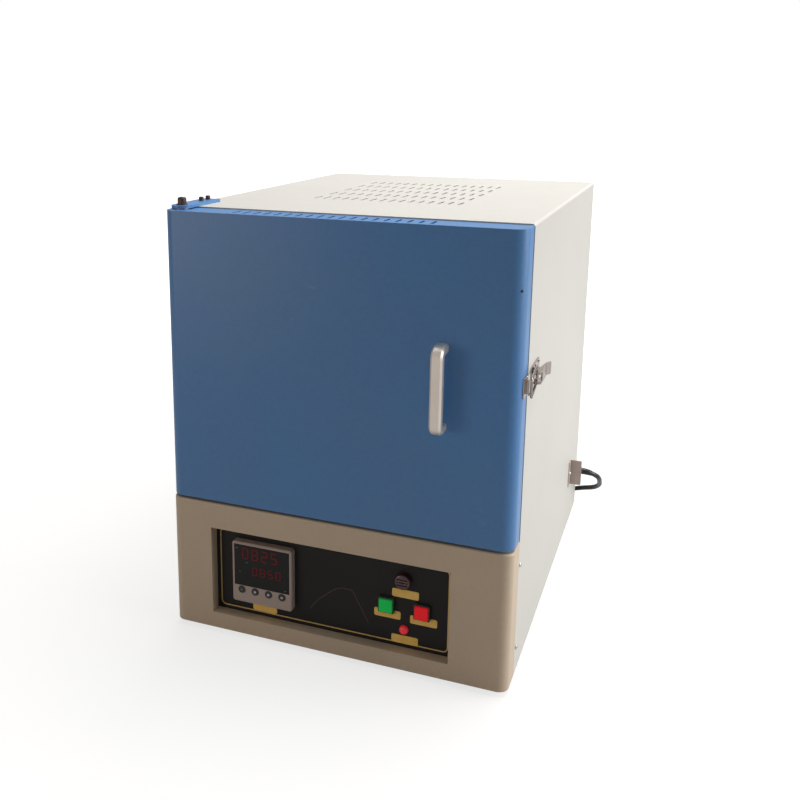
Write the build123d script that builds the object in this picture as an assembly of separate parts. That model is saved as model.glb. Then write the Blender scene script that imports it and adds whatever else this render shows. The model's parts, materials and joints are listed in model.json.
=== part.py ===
from build123d import *
import math
import os

# Muffle furnace with a side-hinged door, a draw latch and a control panel below the door.
# x runs to the right, y to the back, z up, in millimetres. While modelling, x = 0 is the middle of the case,
# y = 0 the front of the door and z = 0 the underside of the case. On export everything moves together,
# so that the origin is the middle of the footprint on the floor.

# Case
case_width = 510
case_height = 630
body_depth = 620
front_depth = 48
sheet = 2
case_corner = 4
lip_height = 15
rear_flange = 14
foot_height = 8
foot_diameter = 34
foot_inset = 50
fit = 0.1

# Cooling slots in the top of the case
top_slot_length = 32
top_slot_width = 4.5
top_slot_columns = 16
top_slot_rows = 5
top_slot_pitch = 15.2
top_slot_row_pitch = 66.5
top_slot_middle = 363

# Vents in the base plate and the rear panel
vent_length = 44
vent_width = 6
vent_pitch = 18
vent_count = 8
base_vent_y = 240
rear_vent_z = 560

# Lower fascia with its recessed window
fascia_top = 201
fascia_corner = 15
fascia_edge = 3
window_left = -190
window_right = 173
window_bottom = 25
window_top = 161.5
recess_depth = 17
recess_flange = 12
tab_height = 16
tab_length = 14
side_screw_y = 54
side_screw_low = 39.5
side_screw_high = 164
side_screw_head = 7
side_screw_rise = 2.2
side_screw_shank = 4
side_screw_length = 9

# Control panel
panel_thickness = 2
panel_margin = 13
controller_size = 96
controller_x = -110.5
controller_z = 96.3
controller_proud = 12
controller_cutout = 92
controller_depth = 78
controller_corner = 4
controller_edge = 1.5
display_side_margin = 3.5
display_top_margin = 3.5
display_bottom_margin = 27
display_depth = 2
display_inset = 0.6
key_diameter = 11.4
key_height = 20.5
key_pitch = 21.7
key_proud = 1
key_length = 5
key_travel = 0.8
key_clearance = 0.2
button_size = 19.4
button_proud = 8
button_frame = 23.4
button_frame_proud = 5
button_travel = 3
button_clearance = 0.2
button_thickness = 3.5
button_barrel = 16
button_barrel_length = 26
button_stem = 7
button_nut = 20
button_nut_thickness = 4
start_x = 79
start_z = 87
stop_x = 131
stop_z = 86
buzzer_x = 103
buzzer_z = 128
buzzer_diameter = 23
buzzer_proud = 9
buzzer_barrel = 20
buzzer_barrel_length = 34
buzzer_slit = 1.4
lamp_x = 105
lamp_z = 53
lamp_diameter = 13
lamp_proud = 6
lamp_barrel = 10
lamp_barrel_length = 24

# Chamber and its insulation
chamber_width = 200
chamber_height = 200
chamber_depth = 345
chamber_floor = 316
side_board = 95
floor_board = 95
roof_board = 95
rear_board = 90
liner = 1.5
rail_width = 40
rail_x = 120
rail_inset = 12
hearth_width = 180
hearth_length = 285
hearth_thickness = 10
hearth_gap = 4
element_diameter = 6
element_rows = 4
element_margin = 25
element_front = 75
element_turn = 370
element_tail = 24
element_bend = 6
element_slack = 1
terminal_diameter = 16
terminal_length = 18
probe_diameter = 8
probe_rise = 160
probe_reach = 50
probe_head = 24
probe_head_length = 26

# Door
door_gap = 4
door_seam = 4
door_top_drop = 1.5
door_corner = 18
door_hinge_corner = 12
door_latch_corner = 3
door_return = 24
door_plate_overlap = 8
door_board_thickness = 24
door_board_margin = 60
plug_clearance = 2
plug_taper = 10
plug_depth = 51
door_slot_length = 25
door_slot_width = 4.5
door_slot_count = 19
door_slot_pitch = 15.6
door_slot_x = -9.5
door_slot_y = 22

# Hinges
hinge_x = -238.5
hinge_y = 27
bracket_width = 30
bracket_back = 115
bracket_thickness = 4
bracket_corner = 3
pin_diameter = 8
pin_reach = 12
pin_clearance = 0.08
bush_diameter = 14
bush_flange = 20
bush_flange_thickness = 0.7
bolt_head = 12.6
bolt_head_height = 10
bolt_washer = 16
bolt_washer_thickness = 1
bracket_screw_front = 82
bracket_screw_back = 102
bracket_screw_head = 7.2
bracket_screw_rise = 6
bracket_screw_shank = 4
bracket_screw_length = 14
lower_plate_thickness = 3

# Handle
handle_x = 153
handle_low = 360
handle_high = 478
handle_width = 16
handle_proud = 31
handle_thickness = 11
handle_bend = 16
handle_edge = 2.5
handle_screw_shank = 5
handle_screw_reach = 10
handle_screw_head = 9
handle_screw_head_height = 3

# Draw latch on the right side
latch_z = 424.5
latch_pivot_x = 8
latch_pivot_y = 73
latch_base_front = 64
latch_base_back = 122
latch_base_height = 30
latch_plate = 2
latch_ear = 2
latch_ear_gap = 8.4
latch_ear_radius = 4.8
latch_pin = 4
lever_cheek = 2
lever_play = 0.3
lever_back = 126
lever_rise = 5.5
lever_tip_lift = 4
bail_wire = 3.5
bail_pivot_drop = 3
bail_pivot_back = 11
bail_reach = 64
bail_lift = 4.8
bail_width = 25
bail_bend = 4
keeper_front = 14
keeper_back = 40
keeper_height = 28
keeper_plate = 1.5
keeper_lip_height = 7
keeper_lip_back = 26
keeper_lip_front = 19

# Rear fan
fan_x = -110
fan_z = 105
fan_size = 120
fan_depth = 25
fan_bore = 114
fan_corner = 6
fan_hub = 40
fan_hub_length = 16
fan_blades = 7
fan_blade_pitch = 38
fan_blade_thickness = 1.6
fan_tip_gap = 2
fan_shaft = 5
fan_mount = 36
fan_mount_thickness = 4
fan_strut = 6
fan_screw_pitch = 105
grille_rings = 3
grille_wire = 2.4
grille_ear = 11
rear_screw_head = 8
rear_screw_rise = 2.4
rear_screw_shank = 4
rear_screw_length = 16
rear_screw_rows = 3
rear_screw_margin = 40

# Electrics on the base plate
sink_x = 110
sink_y = 420
sink_width = 100
sink_length = 90
sink_height = 60
sink_base = 6
sink_fins = 9
sink_fin = 2
relay_width = 44
relay_length = 58
relay_height = 26
breaker_x = -30
breaker_y = 420
breaker_width = 36
breaker_length = 80
breaker_height = 62
breaker_toggle = 10

# Cord bracket, gland, cord and plug
guard_y = 560
guard_rise = 21
guard_low = 80
guard_high = 127
guard_sheet = 1.5
guard_foot = 17
gland_y = 600
gland_z = 93
gland_flange = 20
gland_flange_thickness = 4
gland_neck = 13
gland_dome = 14
gland_reach = 8
gland_nut = 22
gland_nut_thickness = 5
cord_diameter = 9
coil_x = 165
coil_y = 776
coil_radius = 50
coil_width = 27.6
coil_height = 18.6
coil_edge = 4.4
plug_width = 36
plug_length = 44
plug_height = 26
plug_edge = 5
plug_right = 112
plug_y = 715.5
plug_boot = 34
plug_boot_neck = 10
plug_boot_root = 15
plug_pin = 4.8
plug_pin_length = 19
plug_pin_pitch = 19

half = case_width / 2
inner_half = half - sheet
body_front = front_depth
body_back = front_depth + body_depth
roof_inside = case_height - sheet
rear_inside = body_back - sheet
flange_front = rear_inside - sheet


def block(x0, x1, y0, y1, z0, z1):
    """Box between two corners."""
    return Pos((x0 + x1) / 2, (y0 + y1) / 2, (z0 + z1) / 2) * Box(x1 - x0, y1 - y0, z1 - z0)


def post(x, y, z0, z1, diameter):
    """Upright cylinder."""
    return Pos(x, y, (z0 + z1) / 2) * Cylinder(diameter / 2, z1 - z0)


def rod_x(x0, x1, y, z, diameter):
    """Cylinder along x."""
    return Pos((x0 + x1) / 2, y, z) * Rot(0, 90, 0) * Cylinder(diameter / 2, x1 - x0)


def rod_y(x, y0, y1, z, diameter):
    """Cylinder along y."""
    return Pos(x, (y0 + y1) / 2, z) * Rot(90, 0, 0) * Cylinder(diameter / 2, y1 - y0)


def upright_edges(solid, x_side, y_side):
    """Upright edges at one side of a solid: -1 or 1 along x and along y."""
    box = solid.bounding_box()
    x = box.min.X if x_side < 0 else box.max.X
    y = box.min.Y if y_side < 0 else box.max.Y
    edges = solid.edges().filter_by(Axis.Z)
    return [e for e in edges if abs(e.center().X - x) < 0.01 and abs(e.center().Y - y) < 0.01]


def slot_rows(x, y, z, length, width, columns, rows, pitch, row_pitch, through):
    """Cutters for rows of round-ended slots that run along y and go down through a sheet."""
    cutter = extrude(SlotOverall(length, width, rotation=90), through / 2, both=True)
    return [Pos(x, y, z) * place * cutter for place in GridLocations(pitch, row_pitch, columns, rows)]


# Case shell: top and sides folded from one sheet, with rear flanges for the rear panel
shell = block(-half, half, body_front, body_back, 0, case_height)
shell = fillet(shell.edges().filter_by(Axis.Y).group_by(Axis.Z)[-1], case_corner)
shell_space = block(-inner_half, inner_half, body_front, body_back, 0, roof_inside)
shell_space = fillet(shell_space.edges().filter_by(Axis.Y).group_by(Axis.Z)[-1], case_corner - sheet)
shell = shell - shell_space
for side in (-1, 1):
    x_pair = sorted((side * (inner_half - rear_flange), side * inner_half))
    shell = shell + block(*x_pair, flange_front, rear_inside, lip_height, roof_inside - case_corner)
shell = shell - slot_rows(0, top_slot_middle, case_height, top_slot_length, top_slot_width, top_slot_columns,
                          top_slot_rows, top_slot_pitch, top_slot_row_pitch, 4 * sheet)
side_screw_heights = (side_screw_low, side_screw_high)
for z in side_screw_heights:
    shell = shell - rod_x(-half - 1, half + 1, side_screw_y, z, side_screw_shank + fit)
guard_screw_y = guard_y - guard_foot / 2
guard_screw_z = (guard_low + guard_high) / 2
shell = shell - rod_x(inner_half - 1, half + 1, gland_y, gland_z, gland_neck + fit)
shell = shell - rod_x(inner_half - 1, half + 1, guard_screw_y, guard_screw_z, side_screw_shank + fit)
rear_screw_x = inner_half - rear_flange / 2
rear_screw_step = (case_height - 2 * rear_screw_margin) / (rear_screw_rows - 1)
rear_screw_places = [(side * rear_screw_x, rear_screw_margin + row * rear_screw_step)
                     for side in (-1, 1) for row in range(rear_screw_rows)]
for x, z in rear_screw_places:
    shell = shell - rod_y(x, flange_front - 1, rear_inside + 1, z, rear_screw_shank + fit)

# Base plate with folded lips and vents, feet
base = block(-inner_half, inner_half, body_front, rear_inside, 0, sheet)
for side in (-1, 1):
    x_pair = sorted((side * (inner_half - sheet), side * inner_half))
    base = base + block(*x_pair, body_front, flange_front, 0, lip_height)
base = base - slot_rows(0, base_vent_y, sheet, vent_length, vent_width, vent_count, 1, vent_pitch, 1, 4 * sheet)
foot = fillet(post(0, 0, -foot_height, 0, foot_diameter).edges().group_by(Axis.Z)[0], 1.5)
foot_x = half - foot_inset
feet = [Pos(x, y, 0) * foot for x in (-foot_x, foot_x) for y in (body_front + foot_inset, body_back - foot_inset)]

# Rear panel with vents, the fan opening and screw holes
rear = block(-inner_half, inner_half, rear_inside, body_back, sheet, roof_inside)
rear = fillet(rear.edges().filter_by(Axis.Y).group_by(Axis.Z)[-1], case_corner - sheet)
vent = extrude(SlotOverall(vent_length, vent_width, rotation=90), 2 * sheet, both=True)
for place in GridLocations(vent_pitch, 1, vent_count, 1):
    rear = rear - Pos(0, body_back, rear_vent_z) * Rot(90, 0, 0) * place * vent
rear = rear - rod_y(fan_x, rear_inside - 1, body_back + 1, fan_z, fan_bore)
fan_screw_places = [(fan_x + sx * fan_screw_pitch / 2, fan_z + sz * fan_screw_pitch / 2)
                    for sx in (-1, 1) for sz in (-1, 1)]
for x, z in rear_screw_places:
    rear = rear - rod_y(x, rear_inside - 1, body_back + 1, z, rear_screw_shank + fit)
for x, z in fan_screw_places:
    rear = rear - rod_y(x, rear_inside - 1, body_back + 1, z, rear_screw_shank + fit)


def rear_screw(x, seat, z):
    """Screw driven in from behind, with a domed head."""
    head = rod_y(x, seat, seat + rear_screw_rise, z, rear_screw_head)
    head = fillet(head.edges().group_by(Axis.Y)[-1], rear_screw_rise / 2)
    return head + rod_y(x, seat - rear_screw_length, seat, z, rear_screw_shank)


rear_screws = [rear_screw(x, body_back, z) for x, z in rear_screw_places]


# Front plate around the chamber mouth, shelf and rails that carry the chamber
mouth_top = chamber_floor + chamber_height
chamber_half = chamber_width / 2
chamber_front = body_front + sheet
chamber_back = chamber_front + chamber_depth
front_plate = block(-inner_half, inner_half, body_front, chamber_front, fascia_top, roof_inside)
front_plate = fillet(front_plate.edges().filter_by(Axis.Y).group_by(Axis.Z)[-1], case_corner - sheet)
front_plate = front_plate - block(-chamber_half, chamber_half, body_front - 1, chamber_front + 1,
                                  chamber_floor, mouth_top)
shelf_top = fascia_top + sheet
shelf = block(-inner_half, inner_half, chamber_front, flange_front, fascia_top, shelf_top)
liner_half = chamber_half + side_board + liner
liner_bottom = chamber_floor - floor_board - liner
liner_top = mouth_top + roof_board + liner
liner_back = chamber_back + rear_board + liner
rails = []
for x in (-rail_x, rail_x):
    rail = block(x - rail_width / 2, x + rail_width / 2, chamber_front + rail_inset, liner_back - rail_inset,
                 shelf_top, liner_bottom)
    rail = rail - block(x - rail_width / 2 + sheet, x + rail_width / 2 - sheet, chamber_front, liner_back,
                        shelf_top - 1, liner_bottom - sheet)
    rails.append(rail)

# Inner shell and insulation boards round the chamber
inner_shell = block(-liner_half, liner_half, chamber_front, liner_back, liner_bottom, liner_top)
inner_shell = inner_shell - block(-liner_half + liner, liner_half - liner, chamber_front - 1, liner_back - liner,
                                  liner_bottom + liner, liner_top - liner)
board_back = liner_back - liner
board_half = liner_half - liner
board_floor = block(-board_half, board_half, chamber_front, board_back, liner_bottom + liner, chamber_floor)
board_roof = block(-board_half, board_half, chamber_front, board_back, mouth_top, liner_top - liner)
board_right = block(chamber_half, board_half, chamber_front, board_back, chamber_floor, mouth_top)
board_rear = block(-chamber_half, chamber_half, chamber_back, board_back, chamber_floor, mouth_top)

# Heating element: a rod that runs to and fro in a groove of each side board, with two leads out at the rear
groove = element_diameter + 2 * element_slack
element_x = chamber_half + element_slack + element_diameter / 2
row_step = (chamber_height - 2 * element_margin) / (element_rows - 1)
row_heights = [chamber_floor + element_margin + row * row_step for row in range(element_rows)]
element_end = liner_back + element_tail
for row, z in enumerate(row_heights):
    outer_row = row in (0, element_rows - 1)
    groove_back = board_back if outer_row else element_turn + groove / 2
    board_right = board_right - block(chamber_half, chamber_half + groove, element_front - groove / 2,
                                      groove_back, z - groove / 2, z + groove / 2)
for row in range(element_rows - 1):
    y = element_front if row % 2 == 0 else element_turn
    board_right = board_right - block(chamber_half, chamber_half + groove, y - groove / 2, y + groove / 2,
                                      row_heights[row] - groove / 2, row_heights[row + 1] + groove / 2)
element_path = [(element_x, element_end, row_heights[0])]
for row, z in enumerate(row_heights):
    near, far = (element_turn, element_front) if row % 2 == 0 else (element_front, element_turn)
    if row > 0:
        element_path.append((element_x, near, z))
    if row < element_rows - 1:
        element_path.append((element_x, far, z))
element_path.append((element_x, element_end, row_heights[-1]))
element_line = FilletPolyline(*element_path, radius=element_bend)
element_section = Plane(origin=element_path[0], z_dir=(0, -1, 0)) * Circle(element_diameter / 2)
element_right = sweep(element_section, path=element_line)
board_left = mirror(board_right, about=Plane.YZ)
element_left = mirror(element_right, about=Plane.YZ)
terminals = []
for x in (-element_x, element_x):
    for z in (row_heights[0], row_heights[-1]):
        inner_shell = inner_shell - rod_y(x, board_back - 1, liner_back + 1, z, element_diameter + 2 * fit)
        bead = rod_y(x, liner_back, liner_back + terminal_length, z, terminal_diameter)
        bead = chamfer(bead.edges().group_by(Axis.Y)[-1], element_slack)
        terminals.append(bead - rod_y(x, liner_back - 1, element_end, z, element_diameter + 2 * fit))
hearth = block(-hearth_width / 2, hearth_width / 2, chamber_back - hearth_gap - hearth_length,
               chamber_back - hearth_gap, chamber_floor, chamber_floor + hearth_thickness)
probe_z = chamber_floor + probe_rise
for_probe = rod_y(0, chamber_back - 1, liner_back + 1, probe_z, probe_diameter + 2 * fit)
board_rear = board_rear - for_probe
inner_shell = inner_shell - for_probe
probe = rod_y(0, chamber_back - probe_reach, liner_back, probe_z, probe_diameter)
probe = fillet(probe.edges().group_by(Axis.Y)[0], probe_diameter / 4)
probe = probe + rod_y(0, liner_back, liner_back + probe_head_length, probe_z, probe_head)

# Lower fascia: a folded tray, open at the back, with a recess that leads to the control panel
fascia = block(-half, half, 0, front_depth, 0, fascia_top)
fascia = fillet(upright_edges(fascia, -1, -1) + upright_edges(fascia, 1, -1), fascia_corner)
fascia = fillet(fascia.edges().group_by(Axis.Z)[-1].sort_by(Axis.Y)[:-1], fascia_edge)
fascia_space = block(-inner_half, inner_half, sheet, front_depth, sheet, fascia_top - sheet)
fascia_space = fillet(upright_edges(fascia_space, -1, -1) + upright_edges(fascia_space, 1, -1),
                      fascia_corner - sheet)
fascia = fascia - fascia_space
fascia = fascia + block(window_left - sheet, window_right + sheet, sheet, recess_depth,
                        window_bottom - sheet, window_top + sheet)
fascia = fascia + block(window_left - recess_flange, window_right + recess_flange, recess_depth - sheet,
                        recess_depth, window_bottom - recess_flange, window_top + recess_flange)
fascia = fascia - block(window_left, window_right, -1, recess_depth + 1, window_bottom, window_top)
side_screws = []
for side in (-1, 1):
    for z in side_screw_heights:
        x_pair = sorted((side * (inner_half - sheet), side * inner_half))
        fascia = fascia + block(*x_pair, front_depth - tab_length, side_screw_y + tab_height / 2,
                                z - tab_height / 2, z + tab_height / 2)
        fascia = fascia - rod_x(-half - 1, half + 1, side_screw_y, z, side_screw_shank + fit)
        head = rod_x(half, half + side_screw_rise, side_screw_y, z, side_screw_head)
        head = fillet(head.edges().group_by(Axis.X)[-1], side_screw_rise / 2)
        screw = head + rod_x(half - side_screw_length, half, side_screw_y, z, side_screw_shank)
        side_screws.append(screw if side > 0 else mirror(screw, about=Plane.YZ))

# Control panel and what it carries
panel_front = recess_depth
panel_back = panel_front + panel_thickness
panel = block(window_left - panel_margin, window_right + panel_margin, panel_front, panel_back,
              window_bottom - panel_margin, window_top + panel_margin)
cutout = controller_cutout / 2
case_side = cutout - fit
panel = panel - block(controller_x - cutout, controller_x + cutout, panel_front - 1, panel_back + 1,
                      controller_z - cutout, controller_z + cutout)
bezel_side = controller_size / 2
bezel_front = panel_front - controller_proud
bezel = block(controller_x - bezel_side, controller_x + bezel_side, bezel_front, panel_front,
              controller_z - bezel_side, controller_z + bezel_side)
bezel = fillet(bezel.edges().filter_by(Axis.Y), controller_corner)
bezel = chamfer(bezel.edges().group_by(Axis.Y)[0], controller_edge)
display_box = (controller_x - bezel_side + display_side_margin, controller_x + bezel_side - display_side_margin)
display_low = controller_z - bezel_side + display_bottom_margin
display_high = controller_z + bezel_side - display_top_margin
display_back = bezel_front + display_depth
bezel = bezel - block(*display_box, bezel_front - 1, display_back, display_low, display_high)
display = block(*display_box, bezel_front + display_inset, display_back, display_low, display_high)
key_z = controller_z - bezel_side + key_height
key_front = bezel_front - key_proud
keys = []
for place in range(4):
    x = controller_x + (place - 1.5) * key_pitch
    key_back = key_front + key_length
    bezel = bezel - rod_y(x, bezel_front - 1, key_back + key_travel + key_clearance, key_z,
                          key_diameter + 2 * key_clearance)
    key = rod_y(x, key_front, key_back, key_z, key_diameter)
    keys.append(fillet(key.edges().group_by(Axis.Y)[0], key_proud / 2))
controller = bezel + block(controller_x - case_side, controller_x + case_side, panel_front,
                           panel_front + controller_depth, controller_z - case_side, controller_z + case_side)


def push_button(x, z):
    """Housing and cap of a square push button; the cap's stem slides in the barrel."""
    frame_front = panel_front - button_frame_proud
    frame = block(x - button_frame / 2, x + button_frame / 2, frame_front, panel_front,
                  z - button_frame / 2, z + button_frame / 2)
    frame = fillet(frame.edges().filter_by(Axis.Y), 2)
    well = button_size + 2 * button_clearance
    cap_front = panel_front - button_proud
    cap_back = cap_front + button_thickness
    well_back = cap_back + button_travel + button_clearance
    barrel_back = panel_front + button_barrel_length
    stem_back = barrel_back - button_travel - 2
    nut = rod_y(x, panel_back, panel_back + button_nut_thickness, z, button_nut)
    housing = frame + rod_y(x, panel_front, barrel_back, z, button_barrel) + nut
    housing = housing - block(x - well / 2, x + well / 2, frame_front - 1, well_back, z - well / 2, z + well / 2)
    housing = housing - rod_y(x, frame_front, stem_back + button_travel + 1, z,
                              button_stem + 2 * button_clearance)
    cap = block(x - button_size / 2, x + button_size / 2, cap_front, cap_back,
                z - button_size / 2, z + button_size / 2)
    cap = fillet(cap.edges().filter_by(Axis.Y), 1.5)
    cap = chamfer(cap.edges().group_by(Axis.Y)[0], 0.8)
    cap = cap + rod_y(x, cap_back, stem_back, z, button_stem)
    return housing, cap


start_housing, start_cap = push_button(start_x, start_z)
stop_housing, stop_cap = push_button(stop_x, stop_z)
for x, z in ((start_x, start_z), (stop_x, stop_z)):
    panel = panel - rod_y(x, panel_front - 1, panel_back + 1, z, button_barrel + 2 * fit)


def round_fitting(x, z, diameter, proud, barrel, barrel_length, dome):
    """Round panel fitting with a rounded front, a barrel through the panel and a nut behind it."""
    front = rod_y(x, panel_front - proud, panel_front, z, diameter)
    front = fillet(front.edges().group_by(Axis.Y)[0], dome)
    nut = rod_y(x, panel_back, panel_back + button_nut_thickness, z, barrel * 1.25)
    return front + rod_y(x, panel_front, panel_front + barrel_length, z, barrel) + nut


buzzer = round_fitting(buzzer_x, buzzer_z, buzzer_diameter, buzzer_proud, buzzer_barrel, buzzer_barrel_length, 3)
for place in (-1, 0, 1):
    z = buzzer_z + place * 3 * buzzer_slit
    reach = buzzer_diameter / 2 - 4
    buzzer = buzzer - block(buzzer_x - reach, buzzer_x + reach, panel_front - buzzer_proud - 1,
                            panel_front - buzzer_proud / 2, z - buzzer_slit / 2, z + buzzer_slit / 2)
lamp = round_fitting(lamp_x, lamp_z, lamp_diameter, lamp_proud, lamp_barrel, lamp_barrel_length, 4)
panel = panel - rod_y(buzzer_x, panel_front - 1, panel_back + 1, buzzer_z, buzzer_barrel + 2 * fit)
panel = panel - rod_y(lamp_x, panel_front - 1, panel_back + 1, lamp_z, lamp_barrel + 2 * fit)

# Door: folded shell with slots above and below, inner plate, insulation board and tapered plug
door_back = front_depth - door_gap
door_low = fascia_top + door_seam
door_high = case_height - door_top_drop
door = block(-half, half, 0, door_back, door_low, door_high)
door_space = block(-inner_half, inner_half, sheet, door_back - sheet, door_low + sheet, door_high - sheet)
door = fillet(upright_edges(door, -1, -1) + upright_edges(door, 1, -1), door_corner)
door = fillet(upright_edges(door, -1, 1), door_hinge_corner)
door = fillet(upright_edges(door, 1, 1), door_latch_corner)
door_space = fillet(upright_edges(door_space, -1, -1) + upright_edges(door_space, 1, -1), door_corner - sheet)
door_space = fillet(upright_edges(door_space, -1, 1), door_hinge_corner - sheet)
door_space = fillet(upright_edges(door_space, 1, 1), door_latch_corner - sheet)
door = door - door_space
door = door - block(-half + door_return, half - door_return, sheet + 1, door_back + 1,
                    door_low + door_return, door_high - door_return)
door_middle_z = (door_low + door_high) / 2
door = door - slot_rows(door_slot_x, door_slot_y, door_middle_z, door_slot_length, door_slot_width,
                        door_slot_count, 1, door_slot_pitch, 1, case_height)
plate_edge = door_return - door_plate_overlap
plate_back = door_back - sheet
door_plate = block(-half + plate_edge, half - plate_edge, plate_back - sheet, plate_back,
                   door_low + plate_edge, door_high - plate_edge)
board_back_y = plate_back - sheet
door_board = block(-half + door_board_margin, half - door_board_margin, board_back_y - door_board_thickness,
                   board_back_y, door_low + door_board_margin, door_high - door_board_margin)
plug_z = (chamber_floor + mouth_top) / 2
plug_base = Plane(origin=(0, plate_back, plug_z), z_dir=(0, 1, 0)) * Rectangle(
    chamber_width - 2 * plug_clearance, chamber_height - 2 * plug_clearance)
plug_tip = Plane(origin=(0, plate_back + plug_depth, plug_z), z_dir=(0, 1, 0)) * Rectangle(
    chamber_width - 2 * plug_clearance - 2 * plug_taper, chamber_height - 2 * plug_clearance - 2 * plug_taper)
door_plug = loft([plug_base.face(), plug_tip.face()])

# Hinges: top bracket with its bolt, lower plate with a pin, flanged bushes in the door
bracket_half = bracket_width / 2
bracket_top = case_height + bracket_thickness
bracket = block(hinge_x - bracket_half, hinge_x + bracket_half, hinge_y, bracket_back, case_height, bracket_top)
bracket = fillet(upright_edges(bracket, -1, 1) + upright_edges(bracket, 1, 1), bracket_corner)
bracket = bracket + post(hinge_x, hinge_y, case_height, bracket_top, bracket_width)
bracket = bracket - post(hinge_x, hinge_y, case_height - 1, bracket_top + 1, pin_diameter + 2 * fit)
hinge_bolt = post(hinge_x, hinge_y, door_high - pin_reach, bracket_top, pin_diameter)
hinge_bolt = hinge_bolt + post(hinge_x, hinge_y, bracket_top, bracket_top + bolt_washer_thickness, bolt_washer)
bolt_foot = bracket_top + bolt_washer_thickness
bolt_top = post(hinge_x, hinge_y, bolt_foot, bolt_foot + bolt_head_height, bolt_head)
hinge_bolt = hinge_bolt + fillet(bolt_top.edges().group_by(Axis.Z)[-1], 1.5)
bracket_screws = []
for y in (bracket_screw_front, bracket_screw_back):
    hole = post(hinge_x, y, roof_inside - 1, bracket_top + 1, bracket_screw_shank + 2 * fit)
    bracket = bracket - hole
    shell = shell - hole
    head = post(hinge_x, y, bracket_top, bracket_top + bracket_screw_rise, bracket_screw_head)
    head = chamfer(head.edges().group_by(Axis.Z)[-1], 0.6)
    bracket_screws.append(head + post(hinge_x, y, bracket_top - bracket_screw_length, bracket_top,
                                      bracket_screw_shank))
lower_plate_top = fascia_top + lower_plate_thickness
lower_plate = block(hinge_x - bracket_half, hinge_x + bracket_half, hinge_y, front_depth, fascia_top,
                    lower_plate_top)
lower_plate = lower_plate + post(hinge_x, hinge_y, fascia_top, lower_plate_top, bracket_width)
lower_plate = lower_plate & block(hinge_x - bracket_half, half, 0, front_depth, 0, case_height)
lower_plate = lower_plate + post(hinge_x, hinge_y, fascia_top, door_low + pin_reach, pin_diameter)
bush_length = pin_reach + 2
bush_bore = pin_diameter + 2 * pin_clearance
bushes = []
for face, way in ((door_high, 1), (door_low, -1)):
    low, high = sorted((face, face - way * bush_length))
    flange_low, flange_high = sorted((face, face + way * bush_flange_thickness))
    bush = post(hinge_x, hinge_y, low, high, bush_diameter)
    bush = bush + post(hinge_x, hinge_y, flange_low, flange_high, bush_flange)
    bushes.append(bush - post(hinge_x, hinge_y, low - 2, high + 2, bush_bore))
    door = door - post(hinge_x, hinge_y, low, high, bush_diameter)

# Handle: bent bar with bevelled front edges, screwed from inside the door
handle_middle = (handle_low + handle_high) / 2
handle_length = handle_high - handle_low
handle_outer = Pos(-handle_proud / 2, handle_middle) * Rectangle(handle_proud, handle_length)
handle_outer = fillet(handle_outer.vertices().group_by(Axis.X)[0], handle_bend)
handle_inner = Pos(-(handle_proud - handle_thickness) / 2, handle_middle) * Rectangle(
    handle_proud - handle_thickness, handle_length - 2 * handle_thickness)
handle_inner = fillet(handle_inner.vertices().group_by(Axis.X)[0], handle_bend - handle_thickness)
handle = Pos(handle_x, 0, 0) * extrude(Plane.YZ * (handle_outer - handle_inner), handle_width / 2, both=True)
handle = chamfer(handle.edges().filter_by(Plane.YZ).group_by(Axis.Y)[0], handle_edge)
handle_screws = []
for z in (handle_low + handle_thickness / 2, handle_high - handle_thickness / 2):
    hole = rod_y(handle_x, -handle_screw_reach, sheet + 1, z, handle_screw_shank + 2 * fit)
    handle = handle - hole
    door = door - hole
    screw = rod_y(handle_x, -handle_screw_reach, sheet, z, handle_screw_shank)
    handle_screws.append(screw + rod_y(handle_x, sheet, sheet + handle_screw_head_height, z, handle_screw_head))

# Draw latch: base with two ears and a pivot pin, channel-shaped lever, wire bail, keeper on the door
pivot_x = half + latch_pivot_x
base_half = latch_base_height / 2
ear_inner = latch_ear_gap / 2
ear_outer = ear_inner + latch_ear
cheek_inner = ear_outer + lever_play
cheek_outer = cheek_inner + lever_cheek
latch_base = block(half, half + latch_plate, latch_base_front, latch_base_back,
                   latch_z - base_half, latch_z + base_half)
latch_base = fillet(latch_base.edges().filter_by(Axis.X), 3)
for low, high in ((-ear_outer, -ear_inner), (ear_inner, ear_outer)):
    ear = block(half + latch_plate, pivot_x, latch_pivot_y - latch_ear_radius, latch_pivot_y + latch_ear_radius,
                latch_z + low, latch_z + high)
    latch_base = latch_base + ear + post(pivot_x, latch_pivot_y, latch_z + low, latch_z + high,
                                         2 * latch_ear_radius)
latch_base = latch_base + post(pivot_x, latch_pivot_y, latch_z - cheek_outer, latch_z + cheek_outer, latch_pin)
lever_length = lever_back - latch_pivot_y
bail_x = pivot_x - bail_pivot_drop
bail_y = latch_pivot_y + bail_pivot_back
cheek_drop = bail_pivot_drop + bail_wire - 1
cheek_line = Polyline((pivot_x - cheek_drop, latch_pivot_y), (pivot_x - cheek_drop, bail_y + bail_wire),
                      (pivot_x, bail_y + 3 * bail_wire), (pivot_x + lever_rise - lever_cheek, lever_back - 9),
                      (pivot_x + lever_rise, lever_back - 9), (pivot_x + lever_rise, latch_pivot_y), close=True)
cheek_face = make_face(cheek_line) + Pos(pivot_x, latch_pivot_y) * Circle(lever_rise)
cheek_face = cheek_face - Pos(pivot_x, latch_pivot_y) * Circle(latch_pin / 2 + fit)
cheek_face = cheek_face - Pos(bail_x, bail_y) * Circle(bail_wire / 2 + fit)
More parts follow.
